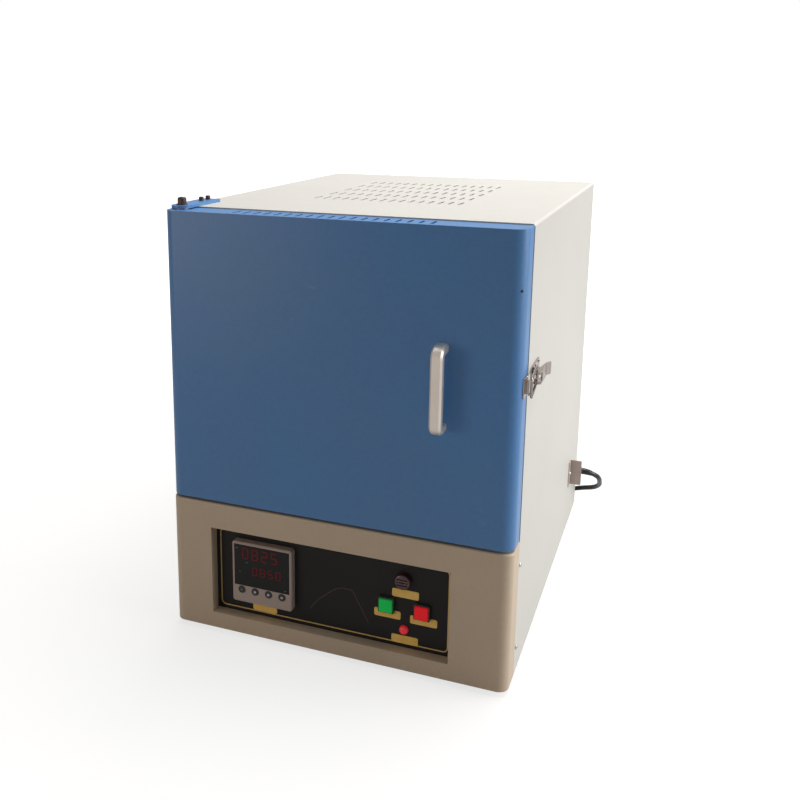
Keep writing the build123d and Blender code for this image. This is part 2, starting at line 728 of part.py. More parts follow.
web_line = Polyline((pivot_x + lever_rise - lever_cheek, latch_pivot_y + 7), (pivot_x + lever_rise, latch_pivot_y + 7),
                    (pivot_x + lever_rise, lever_back - 9), (pivot_x + lever_rise + lever_tip_lift, lever_back),
                    (pivot_x + lever_rise + lever_tip_lift - lever_cheek, lever_back + 1),
                    (pivot_x + lever_rise - lever_cheek, lever_back - 8), close=True)
web = Pos(0, 0, latch_z - cheek_outer) * extrude(make_face(web_line), 2 * cheek_outer)
lever = web + Pos(0, 0, latch_z - cheek_outer) * extrude(cheek_face, lever_cheek)
lever = lever + Pos(0, 0, latch_z + cheek_inner) * extrude(cheek_face, lever_cheek)
hook_x = bail_x + bail_lift
hook_y = bail_y - bail_reach
bail_half = bail_width / 2
bail_points = [(bail_x, bail_y, latch_z - ear_outer), (bail_x, bail_y, latch_z - bail_half),
               (hook_x, hook_y, latch_z - bail_half), (hook_x, hook_y, latch_z + bail_half),
               (bail_x, bail_y, latch_z + bail_half), (bail_x, bail_y, latch_z + ear_outer)]
bail_line = FilletPolyline(*bail_points, radius=bail_bend)
bail = sweep(Plane(origin=bail_points[0], z_dir=(0, 0, -1)) * Circle(bail_wire / 2), path=bail_line)
keeper = block(half, half + keeper_plate, keeper_front, keeper_back, latch_z - keeper_height / 2,
               latch_z + keeper_height / 2)
keeper = fillet(keeper.edges().filter_by(Axis.X), 3)
lip_half = bail_half - bail_wire / 2 - 1
keeper_top = half + keeper_lip_height
keeper = keeper + block(half + keeper_plate, keeper_top, keeper_lip_back - keeper_plate, keeper_lip_back,
                        latch_z - lip_half, latch_z + lip_half)
keeper = keeper + block(keeper_top - keeper_plate, keeper_top, keeper_lip_front, keeper_lip_back,
                        latch_z - lip_half, latch_z + lip_half)

# Rear fan: frame with struts and motor mount, rotor with twisted blades, outer grille and screws
fan_front = rear_inside - fan_depth
fan_half = fan_size / 2
fan_frame = block(fan_x - fan_half, fan_x + fan_half, fan_front, rear_inside, fan_z - fan_half, fan_z + fan_half)
fan_frame = fillet(fan_frame.edges().filter_by(Axis.Y), fan_corner)
fan_frame = fan_frame - rod_y(fan_x, fan_front - 1, rear_inside + 1, fan_z, fan_bore)
mount_back = fan_front + fan_mount_thickness
for angle in (45, 135):
    strut = Pos(fan_x, (fan_front + mount_back) / 2, fan_z) * Rot(0, angle, 0) * Box(
        fan_bore + 2, fan_mount_thickness, fan_strut)
    fan_frame = fan_frame + strut
fan_frame = fan_frame + rod_y(fan_x, fan_front, mount_back, fan_z, fan_mount)
fan_frame = fan_frame - rod_y(fan_x, fan_front - 1, mount_back + 1, fan_z, fan_shaft + 2 * pin_clearance)
hub_front = mount_back + fan_tip_gap / 2
hub_back = hub_front + fan_hub_length
rotor = fillet(rod_y(fan_x, hub_front, hub_back, fan_z, fan_hub).edges().group_by(Axis.Y)[-1], 2)
rotor = rotor + rod_y(fan_x, fan_front, hub_front, fan_z, fan_shaft)
blade_chord = (fan_hub_length - 2) / math.sin(math.radians(fan_blade_pitch))
blade_root = Plane.YZ.offset(fan_hub / 2 - 2) * Rot(0, 0, fan_blade_pitch) * Rectangle(
    blade_chord * 0.9, fan_blade_thickness)
blade_tip = Plane.YZ.offset(fan_bore / 2 - fan_tip_gap) * Rot(0, 0, fan_blade_pitch * 1.5) * Rectangle(
    blade_chord * 0.9, fan_blade_thickness)
blade = loft([blade_root.face(), blade_tip.face()])
for step in range(fan_blades):
    rotor = rotor + Pos(fan_x, (hub_front + hub_back) / 2, fan_z) * Rot(0, step * 360 / fan_blades, 0) * blade
grille_back = body_back + grille_wire
grille_reach = fan_screw_pitch / math.sqrt(2)
grille = rod_y(fan_x, body_back, grille_back, fan_z, fan_shaft * 3)
for ring in range(1, grille_rings + 1):
    radius = ring * fan_bore / 2 / grille_rings
    grille = grille + (rod_y(fan_x, body_back, grille_back, fan_z, 2 * radius)
                       - rod_y(fan_x, body_back - 1, grille_back + 1, fan_z, 2 * (radius - grille_wire)))
for angle in (45, 135):
    grille = grille + Pos(fan_x, (body_back + grille_back) / 2, fan_z) * Rot(0, angle, 0) * Box(
        2 * grille_reach, grille_wire, grille_wire)
for x, z in fan_screw_places:
    grille = grille + rod_y(x, body_back, grille_back, z, grille_ear)
    grille = grille - rod_y(x, body_back - 1, grille_back + 1, z, rear_screw_shank + fit)
    fan_frame = fan_frame - rod_y(x, fan_front - 1, rear_inside + 1, z, rear_screw_shank + fit)
    rear_screws.append(rear_screw(x, grille_back, z))

# Electrics on the base plate: heat sink with its relay, breaker
sink = block(sink_x, sink_x + sink_base, sink_y - sink_width / 2, sink_y + sink_width / 2,
             sheet, sheet + sink_length)
fin_step = (sink_width - sink_fin) / (sink_fins - 1)
for fin in range(sink_fins):
    y = sink_y - sink_width / 2 + fin * fin_step
    sink = sink + block(sink_x + sink_base, sink_x + sink_height, y, y + sink_fin, sheet, sheet + sink_length)
relay_low = sheet + (sink_length - relay_length) / 2
relay = block(sink_x - relay_height, sink_x, sink_y - relay_width / 2, sink_y + relay_width / 2,
              relay_low, relay_low + relay_length)
relay = chamfer(relay.edges().group_by(Axis.X)[0], 2)
breaker = block(breaker_x - breaker_width / 2, breaker_x + breaker_width / 2, breaker_y - breaker_length / 2,
                breaker_y + breaker_length / 2, sheet, sheet + breaker_height * 0.75)
breaker = breaker + block(breaker_x - breaker_width / 2, breaker_x + breaker_width / 2,
                          breaker_y - breaker_length / 4, breaker_y + breaker_length / 4,
                          sheet, sheet + breaker_height)
breaker = breaker + block(breaker_x - breaker_width / 3, breaker_x + breaker_width / 3,
                          breaker_y - breaker_toggle / 2, breaker_y + breaker_toggle / 2,
                          sheet, sheet + breaker_height + breaker_toggle)

# Cord bracket beside the gland: a folded plate that stands out from the right side
guard = block(half, half + guard_rise, guard_y, guard_y + guard_sheet, guard_low, guard_high)
guard = guard + block(half, half + guard_sheet, guard_y - guard_foot, guard_y + guard_sheet, guard_low, guard_high)
guard = fillet([e for e in guard.edges().filter_by(Axis.Y) if abs(e.center().X - half - guard_rise) < 0.01], 2)
guard = guard - rod_x(half - 1, half + guard_sheet + 1, guard_screw_y, guard_screw_z, side_screw_shank + fit)
screw = side_screws[-1]
screw_middle = screw.bounding_box().center()
side_screws.append(Pos(guard_sheet, guard_screw_y - screw_middle.Y, guard_screw_z - screw_middle.Z) * screw)

# Gland with its nut inside the case
gland_end = half + gland_reach
gland = rod_x(half, half + gland_flange_thickness, gland_y, gland_z, gland_flange)
gland = gland + rod_x(inner_half - gland_nut_thickness, half, gland_y, gland_z, gland_neck)
gland = gland + rod_x(inner_half - gland_nut_thickness, inner_half, gland_y, gland_z, gland_nut)
dome = rod_x(half + gland_flange_thickness, gland_end, gland_y, gland_z, gland_dome)
gland = gland + fillet(dome.edges().group_by(Axis.X)[-1], 2)

# Cord: down behind the case to a coil on the floor, with the plug beside the coil
floor = -foot_height
cord_floor = floor + cord_diameter / 2
cord_points = [(gland_end, gland_y, gland_z), (272, 600, 93), (285.5, 602.8, 90.7), (296.2, 609.7, 84.9),
               (303, 620.8, 75.6), (303.4, 638, 61.4), (302, 655, 47), (290, 671, 33.7), (269.2, 680.6, 26),
               (245, 689, 16), (219, 700, 6), (200, 709, -1.5), (180, 716, cord_floor)]
coil_middle = floor + coil_height / 2
coil_profile = Pos(coil_radius, 0) * RectangleRounded(coil_width, coil_height, coil_edge)
coil = Pos(coil_x, coil_y, coil_middle) * revolve(Plane.XZ * coil_profile, Axis.Z)
plug_middle = floor + plug_height / 2
plug = block(plug_right - plug_length, plug_right, plug_y - plug_width / 2, plug_y + plug_width / 2,
             floor, floor + plug_height)
plug = fillet(plug.edges().filter_by(Axis.X), plug_edge)
boot = Pos(plug_right + plug_boot / 2, plug_y, plug_middle) * Rot(0, 90, 0) * Cone(
    plug_boot_root / 2, plug_boot_neck / 2, plug_boot)
plug = plug + boot - coil
for side in (-1, 1):
    plug = plug + rod_x(plug_right - plug_length - plug_pin_length, plug_right - plug_length,
                        plug_y + side * plug_pin_pitch / 2, plug_middle, plug_pin)


def corner_radii(points):
    """Bend radius at each inner point: as large as the shorter neighbouring run allows."""
    radii = []
    for before, here, after in zip(points, points[1:], points[2:]):
        run_in = Vector(*here) - Vector(*before)
        run_out = Vector(*after) - Vector(*here)
        half_turn = math.radians(run_in.get_angle(run_out) / 2)
        radii.append(0.45 * min(run_in.length, run_out.length) / math.tan(half_turn))
    return radii


cord_radii = corner_radii(cord_points)
print("cord bend radii:", [round(radius, 1) for radius in cord_radii])
cord_line = FilletPolyline(*cord_points, radius=cord_radii)
cord = sweep(Plane(origin=cord_points[0], z_dir=(1, 0, 0)) * Circle(cord_diameter / 2), path=cord_line)
print("cord volume over section times length:",
      round(cord.volume / (math.pi * cord_diameter ** 2 / 4 * cord_line.length), 4))

nodes = {
    "cabinet_shell": [shell], "base_plate": [base], "rear_panel": [rear], "front_plate": [front_plate],
    "chamber_shelf": [shelf], "shelf_rails": rails, "inner_shell": [inner_shell],
    "insulation_floor": [board_floor], "insulation_roof": [board_roof], "insulation_right": [board_right],
    "insulation_left": [board_left], "insulation_rear": [board_rear], "hearth_plate": [hearth],
    "element_right": [element_right], "element_left": [element_left], "element_terminals": terminals,
    "thermocouple": [probe], "feet": feet, "lower_fascia": [fascia], "side_screws": side_screws,
    "control_panel": [panel], "controller": [controller], "controller_display": [display],
    "key_1": [keys[0]], "key_2": [keys[1]], "key_3": [keys[2]], "key_4": [keys[3]],
    "start_housing": [start_housing], "start_button": [start_cap], "stop_housing": [stop_housing],
    "stop_button": [stop_cap], "alarm_buzzer": [buzzer], "indicator_lamp": [lamp],
    "hinge_bracket": [bracket], "hinge_bolt": [hinge_bolt], "bracket_screws": bracket_screws,
    "lower_hinge_plate": [lower_plate], "door_shell": [door], "door_plate": [door_plate],
    "door_insulation": [door_board], "door_plug": [door_plug], "hinge_bushes": bushes,
    "door_handle": [handle], "handle_screws": handle_screws, "latch_keeper": [keeper],
    "latch_base": [latch_base], "latch_lever": [lever], "latch_bail": [bail], "fan_frame": [fan_frame],
    "fan_rotor": [rotor], "fan_grille": [grille], "rear_screws": rear_screws,
    "heat_sink": [sink], "relay": [relay], "breaker": [breaker], "cord_bracket": [guard],
    "cord_gland": [gland], "cord_tube": [cord], "cord_coil": [coil], "plug": [plug],
}
cord_nodes = ("cord_tube", "cord_coil", "plug")

# Everything moves so that the origin is the middle of the footprint, on the floor
solids = {name: [solid for shape in shapes for solid in shape.solids()] for name, shapes in nodes.items()}
standing = Compound([solid for name, group in solids.items() if name not in cord_nodes for solid in group])
extent = standing.bounding_box()
shift = Location((-extent.center().X, -extent.center().Y, -extent.min.Z))
print("shift:", shift.position, "size:", extent.size)
os.makedirs("parts", exist_ok=True)
for name, group in solids.items():
    placed = [solid.moved(shift) for solid in group]
    export_step(placed[0] if len(placed) == 1 else Compound(placed), f"parts/{name}.step")
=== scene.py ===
import bpy
import bmesh
import json
import math
from mathutils import Matrix, Vector


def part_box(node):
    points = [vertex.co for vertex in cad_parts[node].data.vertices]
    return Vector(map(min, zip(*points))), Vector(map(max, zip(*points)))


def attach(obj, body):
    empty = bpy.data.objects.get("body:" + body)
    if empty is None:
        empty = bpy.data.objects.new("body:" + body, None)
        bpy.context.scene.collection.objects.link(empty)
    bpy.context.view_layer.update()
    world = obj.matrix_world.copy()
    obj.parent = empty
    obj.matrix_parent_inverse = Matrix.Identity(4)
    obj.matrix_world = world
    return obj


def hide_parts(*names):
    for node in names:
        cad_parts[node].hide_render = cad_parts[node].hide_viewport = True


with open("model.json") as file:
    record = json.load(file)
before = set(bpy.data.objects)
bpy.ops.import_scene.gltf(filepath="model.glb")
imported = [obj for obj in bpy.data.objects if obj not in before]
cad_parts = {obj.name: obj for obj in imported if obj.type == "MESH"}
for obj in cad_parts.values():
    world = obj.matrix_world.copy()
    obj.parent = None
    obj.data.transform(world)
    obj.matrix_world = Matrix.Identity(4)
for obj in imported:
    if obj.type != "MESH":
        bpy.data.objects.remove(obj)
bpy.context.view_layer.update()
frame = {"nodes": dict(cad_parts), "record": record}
nodes = frame["nodes"]
MM = 0.001
TURN = 2 * math.pi

# Places that the furnace's own pieces give: middle of the case, front of the door, underside of the case
case_low, case_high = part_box("cabinet_shell")
middle_x = (case_low[0] + case_high[0]) / 2
door_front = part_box("door_shell")[0][1]
case_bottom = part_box("base_plate")[0][2]


def at(x, y, z):
    """A point of the frame from millimetres: from the case's middle, the door's front and the underside."""
    return Vector((middle_x + x * MM, door_front + y * MM, case_bottom + z * MM))


# Camera at the photograph's place: the optical axis passes left of and above the middle of the picture
YAW = 0.37904
PITCH = 0.21427
ROLL = 0.0032
LENS = 42.594
SHIFT_RIGHT = 0.0875
SHIFT_UP = -0.125
camera_place = at(451.5, -1138.4, 787.7)
camera_data = bpy.data.cameras.new("view")
camera_data.sensor_width = 36
camera_data.lens = LENS
camera_data.shift_x = SHIFT_RIGHT
camera_data.shift_y = SHIFT_UP
camera_data.clip_start = 0.01
camera = bpy.data.objects.new("view", camera_data)
bpy.context.scene.collection.objects.link(camera)
ahead = Vector((-math.sin(YAW) * math.cos(PITCH), math.cos(YAW) * math.cos(PITCH), -math.sin(PITCH)))
level = Vector((math.cos(YAW), math.sin(YAW), 0))
above = level.cross(ahead)
right = math.cos(ROLL) * level + math.sin(ROLL) * above
up = math.cos(ROLL) * above - math.sin(ROLL) * level
turn = Matrix((right, up, -ahead)).transposed().to_4x4()
camera.matrix_world = Matrix.Translation(camera_place) @ turn
bpy.context.scene.camera = camera
bpy.context.scene.view_settings.view_transform = "Standard"


# Small helpers for meshes
def keep(name, mesh, material, body):
    """Puts a mesh into the scene as a piece at the origin, with its material and its body."""
    piece = bpy.data.objects.new(name, mesh)
    bpy.context.scene.collection.objects.link(piece)
    mesh.materials.clear()
    mesh.materials.append(material)
    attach(piece, body)
    return piece


def mesh_from(bm, name, smooth=False):
    """A mesh from a bmesh, with outward normals."""
    bmesh.ops.recalc_face_normals(bm, faces=bm.faces)
    mesh = bpy.data.meshes.new(name)
    bm.to_mesh(mesh)
    bm.free()
    for face in mesh.polygons:
        face.use_smooth = smooth
    return mesh


def plain_mesh(piece, name):
    """The evaluated shape of an object as a plain mesh; the object itself is removed."""
    bpy.context.view_layer.update()
    graph = bpy.context.evaluated_depsgraph_get()
    mesh = bpy.data.meshes.new_from_object(piece.evaluated_get(graph), depsgraph=graph)
    mesh.name = name
    mesh.transform(piece.matrix_world)
    bpy.data.objects.remove(piece)
    return mesh


def plate(bm, x0, x1, y0, y1, z0, z1):
    """Adds a block between two corners in millimetres."""
    low = at(x0, y0, z0)
    high = at(x1, y1, z1)
    size = high - low
    place = Matrix.Translation((low + high) / 2) @ Matrix.Diagonal((*size, 1))
    bmesh.ops.create_cube(bm, size=1, matrix=place)


# Cord: the route of the furnace's cord, then the turns of its coil, as one smooth line
cord_radius = 4.5
floor_z = -8
cord_floor = floor_z + cord_radius
cord_route = [(263, 600, 93), (272, 600, 93), (285.5, 602.8, 90.7), (296.2, 609.7, 84.9), (303, 620.8, 75.6),
              (303.4, 638, 61.4), (302, 655, 47), (290, 671, 33.7), (269.2, 680.6, 26), (245, 689, 16),
              (219, 700, 6), (200, 709, -1.5), (180, 716, cord_floor)]
coil_x = 165
coil_y = 776
coil_points = 16
coil_turns = 4
coil_outer = 59
coil_inner = 40.6
layer_turns = 1.9
layer_rise = 9.2
plug_y = 715.5
plug_z = 5
plug_lead = [(150, 717, 5.6), (135, 716.2, 5.2), (112, plug_y, plug_z)]


def coil_point(step):
    """A control point of the coil: a layer that winds inwards, a short climb, a layer that winds outwards."""
    turns = step / coil_points
    pitch = (coil_outer - coil_inner) / layer_turns
    climb_end = coil_turns - layer_turns
    if turns < layer_turns:
        radius = coil_outer - pitch * turns
        rise = 0
    elif turns < climb_end:
        radius = coil_inner
        rise = layer_rise * (turns - layer_turns) / (climb_end - layer_turns)
    else:
        radius = coil_inner + pitch * (turns - climb_end)
        rise = layer_rise
    angle = -TURN / 4 - turns * TURN
    return (coil_x + radius * math.cos(angle), coil_y + radius * math.sin(angle), cord_floor + rise)


def cord_curve(name, thickness):
    """The cord's line as a NURBS curve object, round and solid where it has a thickness."""
    data = bpy.data.curves.new(name, "CURVE")
    data.dimensions = "3D"
    data.resolution_u = 6
    data.bevel_depth = thickness
    data.bevel_resolution = 4
    data.use_fill_caps = thickness > 0
    controls = cord_route + [coil_point(step) for step in range(coil_points * coil_turns + 1)] + plug_lead
    spline = data.splines.new("NURBS")
    spline.points.add(len(controls) - 1)
    for point, place in zip(spline.points, controls):
        point.co = (*at(*place), 1)
    spline.order_u = 3
    spline.use_endpoint_u = True
    piece = bpy.data.objects.new(name, data)
    bpy.context.scene.collection.objects.link(piece)
    return piece


def line_of(piece):
    """The points of a thin curve object in order; the object itself is removed."""
    mesh = plain_mesh(piece, "line")
    points = [vert.co.copy() for vert in mesh.vertices]
    bpy.data.meshes.remove(mesh)
    return points


def sleeve(bm, line, radii, sides=24):
    """Adds a round sleeve along a line, with a radius at each of its points, closed at both ends."""
    rings = []
    aside = None
    for index, point in enumerate(line):
        ahead = (line[min(index + 1, len(line) - 1)] - line[max(index - 1, 0)]).normalized()
        aside = ahead.orthogonal() if aside is None else aside - ahead * aside.dot(ahead)
        aside.normalize()
        other = ahead.cross(aside)
        rings.append([bm.verts.new(point + radii[index] * MM * (math.cos(TURN * side / sides) * aside
                                                                + math.sin(TURN * side / sides) * other))
                      for side in range(sides)])
    for ring, following in zip(rings, rings[1:]):
        for side in range(sides):
            after = (side + 1) % sides
            bm.faces.new((ring[side], ring[after], following[after], following[side]))
    bm.faces.new(list(reversed(rings[0])))
    bm.faces.new(rings[-1])


cord = cord_curve("power_cord", cord_radius * MM)
cord_line = line_of(cord_curve("cord_line", 0))


# Shader groups: each effect once, placed in the materials with its own values
def node(tree, kind, values=None, **settings):
    """A node with its settings; values go to its inputs, as numbers or as links from other sockets."""
    made = tree.nodes.new(kind)
    for setting, value in settings.items():
        setattr(made, setting, value)
    for socket, value in (values or {}).items():
        if isinstance(value, bpy.types.NodeSocket):
            tree.links.new(value, made.inputs[socket])
        else:
            made.inputs[socket].default_value = value
    return made


def calc(tree, operation, first, second):
    """The result of one sum on two numbers."""
    return node(tree, "ShaderNodeMath", {0: first, 1: second}, operation=operation).outputs[0]


def mixed(tree, share, first, second):
    """One colour over another, by share."""
    return node(tree, "ShaderNodeMix", {0: share, 6: first, 7: second}, data_type="RGBA").outputs[2]


def between(tree, value, low, high):
    """A number taken from low to high into 0 to 1, smoothly."""
    values = {"Value": value, "From Min": low, "From Max": high}
    return node(tree, "ShaderNodeMapRange", values, interpolation_type="SMOOTHSTEP").outputs[0]


def cloud(tree, where, scale, detail=2.0, roughness=0.5):
    """Noise at a scale, as a number round a half."""
    values = {"Vector": where, "Scale": scale, "Detail": detail, "Roughness": roughness}
    return node(tree, "ShaderNodeTexNoise", values).outputs[0]


def shader_group(name, inputs, outputs):
    """A shader group: its tree, its input sockets, its output sockets and the Object coordinates."""
    tree = bpy.data.node_groups.new(name, "ShaderNodeTree")
    kinds = {"number": "NodeSocketFloat", "colour": "NodeSocketColor", "vector": "NodeSocketVector"}
    for socket, kind in inputs:
        tree.interface.new_socket(name=socket, in_out="INPUT", socket_type=kinds[kind])
    for socket, kind in outputs:
        tree.interface.new_socket(name=socket, in_out="OUTPUT", socket_type=kinds[kind])
    given = tree.nodes.new("NodeGroupInput").outputs
    gives = tree.nodes.new("NodeGroupOutput").inputs
    where = tree.nodes.new("ShaderNodeTexCoord").outputs["Object"]
    return tree, given, gives, where


def surface_ends(tree, given, gives, height):
    """Turns a height pattern into the shade, the roughness and the normal of a surface group."""
    swing = calc(tree, "SUBTRACT", height, 0.5)
    shade = calc(tree, "ADD", calc(tree, "MULTIPLY", swing, given["Shade"]), 1.0)
    shaded = node(tree, "ShaderNodeVectorMath", {0: given["Colour"], "Scale": shade}, operation="SCALE")
    tree.links.new(shaded.outputs[0], gives["Colour"])
    rough = calc(tree, "ADD", calc(tree, "MULTIPLY", swing, given["Spread"]), given["Roughness"])
    tree.links.new(rough, gives["Roughness"])
    bump = node(tree, "ShaderNodeBump", {"Strength": 1.0, "Distance": given["Depth"], "Height": height})
    tree.links.new(bump.outputs[0], gives["Normal"])


surface_inputs = [("Colour", "colour"), ("Shade", "number"), ("Scale", "number"), ("Depth", "number"),
                  ("Roughness", "number"), ("Spread", "number")]
surface_outputs = [("Colour", "colour"), ("Roughness", "number"), ("Normal", "vector")]

# Coarser parts of the patterns, as a share of the scale of the fine part
ripple_share = 0.21
lump_share = 0.12
rubbed_share = 0.15

# Where the masks begin and end: noise from 0 to 1, the upward part of a normal, metres from the mouth
patch_edge = (0.35, 0.65)
scratch_edge = (0.66, 0.74)
rubbed_edge = (0.45, 0.7)
upward_edge = (0.5, 1.0)
drift_edge = (0.35, 0.75)
heat_start = 0.1
heat_end = 0.21
heat_waver = 0.05
dust_tone = (0.42, 0.39, 0.34, 1)
mouth_middle = at(0, 0, 416)

# Fine grain over a softer ripple, as on powder coat and moulded plastic
fine_grain, given, gives, where = shader_group("fine_grain", surface_inputs, surface_outputs)
fine = cloud(fine_grain, where, given["Scale"], 3, 0.6)
ripple = cloud(fine_grain, where, calc(fine_grain, "MULTIPLY", given["Scale"], ripple_share), 2)
grain_height = calc(fine_grain, "MULTIPLY", calc(fine_grain, "ADD", fine, ripple), 0.5)
surface_ends(fine_grain, given, gives, grain_height)

# Streaks of a brushed or drawn metal; the stretch is large across the streaks
brushed, given, gives, where = shader_group("brushed", surface_inputs + [("Stretch", "vector")],
                                            surface_outputs)
drawn = node(brushed, "ShaderNodeVectorMath", {0: where, 1: given["Stretch"]}, operation="MULTIPLY")
lines = cloud(brushed, drawn.outputs[0], given["Scale"], 4, 0.65)
surface_ends(brushed, given, gives, lines)

# Matted fibres of ceramic board
fibrous, given, gives, where = shader_group("fibrous", surface_inputs, surface_outputs)
bent = node(fibrous, "ShaderNodeTexNoise", {"Vector": where, "Scale": given["Scale"], "Detail": 5.0,
                                            "Roughness": 0.7, "Distortion": 2.5}).outputs[0]
lump = cloud(fibrous, where, calc(fibrous, "MULTIPLY", given["Scale"], lump_share), 3)
fibre_height = calc(fibrous, "MULTIPLY", calc(fibrous, "ADD", bent, lump), 0.5)
surface_ends(fibrous, given, gives, fibre_height)

# Large uneven patches of a second tone
patches, given, gives, where = shader_group(
    "patches", [("Colour", "colour"), ("Other", "colour"), ("Scale", "number"), ("Amount", "number")],
    [("Colour", "colour")])
spot = between(patches, cloud(patches, where, given["Scale"], 4, 0.55), *patch_edge)
patches.links.new(mixed(patches, calc(patches, "MULTIPLY", spot, given["Amount"]), given["Colour"],
                        given["Other"]), gives["Colour"])

# Thin scratches and rubbed places, as a mask
scuffs, given, gives, where = shader_group("scuffs", [("Scale", "number"), ("Amount", "number")],
                                           [("Mask", "number")])
crossed = []
for tilt, stretch in (((0.4, 0.2, 0.7), (1, 14, 3)), ((-0.6, 0.3, -0.5), (16, 2, 1))):
    turned = node(scuffs, "ShaderNodeMapping", {"Vector": where, "Rotation": tilt, "Scale": stretch})
    scratches = cloud(scuffs, turned.outputs[0], given["Scale"], 3, 0.6)
    crossed.append(between(scuffs, scratches, *scratch_edge))
wide_cloud = cloud(scuffs, where, calc(scuffs, "MULTIPLY", given["Scale"], rubbed_share), 2)
rubbed = between(scuffs, wide_cloud, *rubbed_edge)
worn = calc(scuffs, "MULTIPLY", calc(scuffs, "MAXIMUM", *crossed), rubbed)
scuffs.links.new(calc(scuffs, "MULTIPLY", worn, given["Amount"]), gives["Mask"])

# Dust that settles on faces that look up
settled_dust, given, gives, where = shader_group(
    "settled_dust", [("Colour", "colour"), ("Dust", "colour"), ("Amount", "number")], [("Colour", "colour")])
facing = settled_dust.nodes.new("ShaderNodeTexCoord").outputs["Normal"]
upward = node(settled_dust, "ShaderNodeSeparateXYZ", {0: facing}).outputs["Z"]
drift = calc(settled_dust, "MULTIPLY", between(settled_dust, upward, *upward_edge),
             between(settled_dust, cloud(settled_dust, where, 40, 5, 0.7), *drift_edge))
settled_dust.links.new(mixed(settled_dust, calc(settled_dust, "MULTIPLY", drift, given["Amount"]),
                             given["Colour"], given["Dust"]), gives["Colour"])

# Heat tint in rings round the chamber's mouth
heat_tint, given, gives, where = shader_group(
    "heat_tint", [("Colour", "colour"), ("Tint", "colour"), ("Middle", "vector"), ("Reach", "number")],
    [("Colour", "colour")])
offset = node(heat_tint, "ShaderNodeVectorMath", {0: where, 1: given["Middle"]}, operation="SUBTRACT")
flat_offset = node(heat_tint, "ShaderNodeVectorMath", {0: offset.outputs[0], 1: (1, 0, 1)},
                   operation="MULTIPLY")
distance = node(heat_tint, "ShaderNodeVectorMath", {0: flat_offset.outputs[0]}, operation="LENGTH")
waver = calc(heat_tint, "MULTIPLY", cloud(heat_tint, where, 14, 3), heat_waver)
wavy = calc(heat_tint, "ADD", distance.outputs["Value"], waver)
near = calc(heat_tint, "SUBTRACT", 1.0, between(heat_tint, wavy, heat_start, given["Reach"]))
heat_tint.links.new(mixed(heat_tint, near, given["Colour"], given["Tint"]), gives["Colour"])


# Materials
def material_start(name, shader_values):
    """A material with its Principled shader, whose plain values are set on its own sockets."""
    made = bpy.data.materials.new(name)
    made.use_nodes = True
    shader = made.node_tree.nodes["Principled BSDF"]
    for socket, value in shader_values.items():
        shader.inputs[socket].default_value = value
    return made, made.node_tree, shader


def finish(name, colour_a, colour_b, patch, effect, shade, scale, depth, roughness, spread, stretch=None,
           wear=None, dust=None, heat=None, **shader_values):
    """A material: two tones in patches, optional dust, heat and wear, and a surface effect over all."""
    plain_values = {key.replace("_", " "): value for key, value in shader_values.items()}
    made, tree, shader = material_start(name, plain_values)
    values = {"Colour": (*colour_a, 1), "Other": (*colour_b, 1), "Scale": patch[0], "Amount": patch[1]}
    tone = node(tree, "ShaderNodeGroup", values, node_tree=patches).outputs[0]
    if heat is not None:
        values = {"Colour": tone, "Tint": (*heat, 1), "Middle": mouth_middle, "Reach": heat_end}
        tone = node(tree, "ShaderNodeGroup", values, node_tree=heat_tint).outputs[0]
    if dust is not None:
        values = {"Colour": tone, "Dust": dust_tone, "Amount": dust}
        tone = node(tree, "ShaderNodeGroup", values, node_tree=settled_dust).outputs[0]
    if wear is not None:
        values = {"Scale": wear[0], "Amount": wear[1]}
        mask = node(tree, "ShaderNodeGroup", values, node_tree=scuffs).outputs[0]
        tone = mixed(tree, mask, tone, (*wear[2], 1))
    values = {"Colour": tone, "Shade": shade, "Scale": scale, "Depth": depth * MM, "Roughness": roughness,
              "Spread": spread}
    if stretch is not None:
        values["Stretch"] = stretch
    skin = node(tree, "ShaderNodeGroup", values, node_tree=effect)
    tree.links.new(skin.outputs["Colour"], shader.inputs["Base Color"])
    tree.links.new(skin.outputs["Roughness"], shader.inputs["Roughness"])
    tree.links.new(skin.outputs["Normal"], shader.inputs["Normal"])
    return made


# The beige of the fascia is darker than the cream of the case partly as painted shade of the dimmer front
# faces, besides the two paints' own tones
cream = (0.67, 0.655, 0.615)
beige = (0.625, 0.495, 0.36)
blue = (0.078, 0.235, 0.53)
steel = (0.55, 0.54, 0.52)

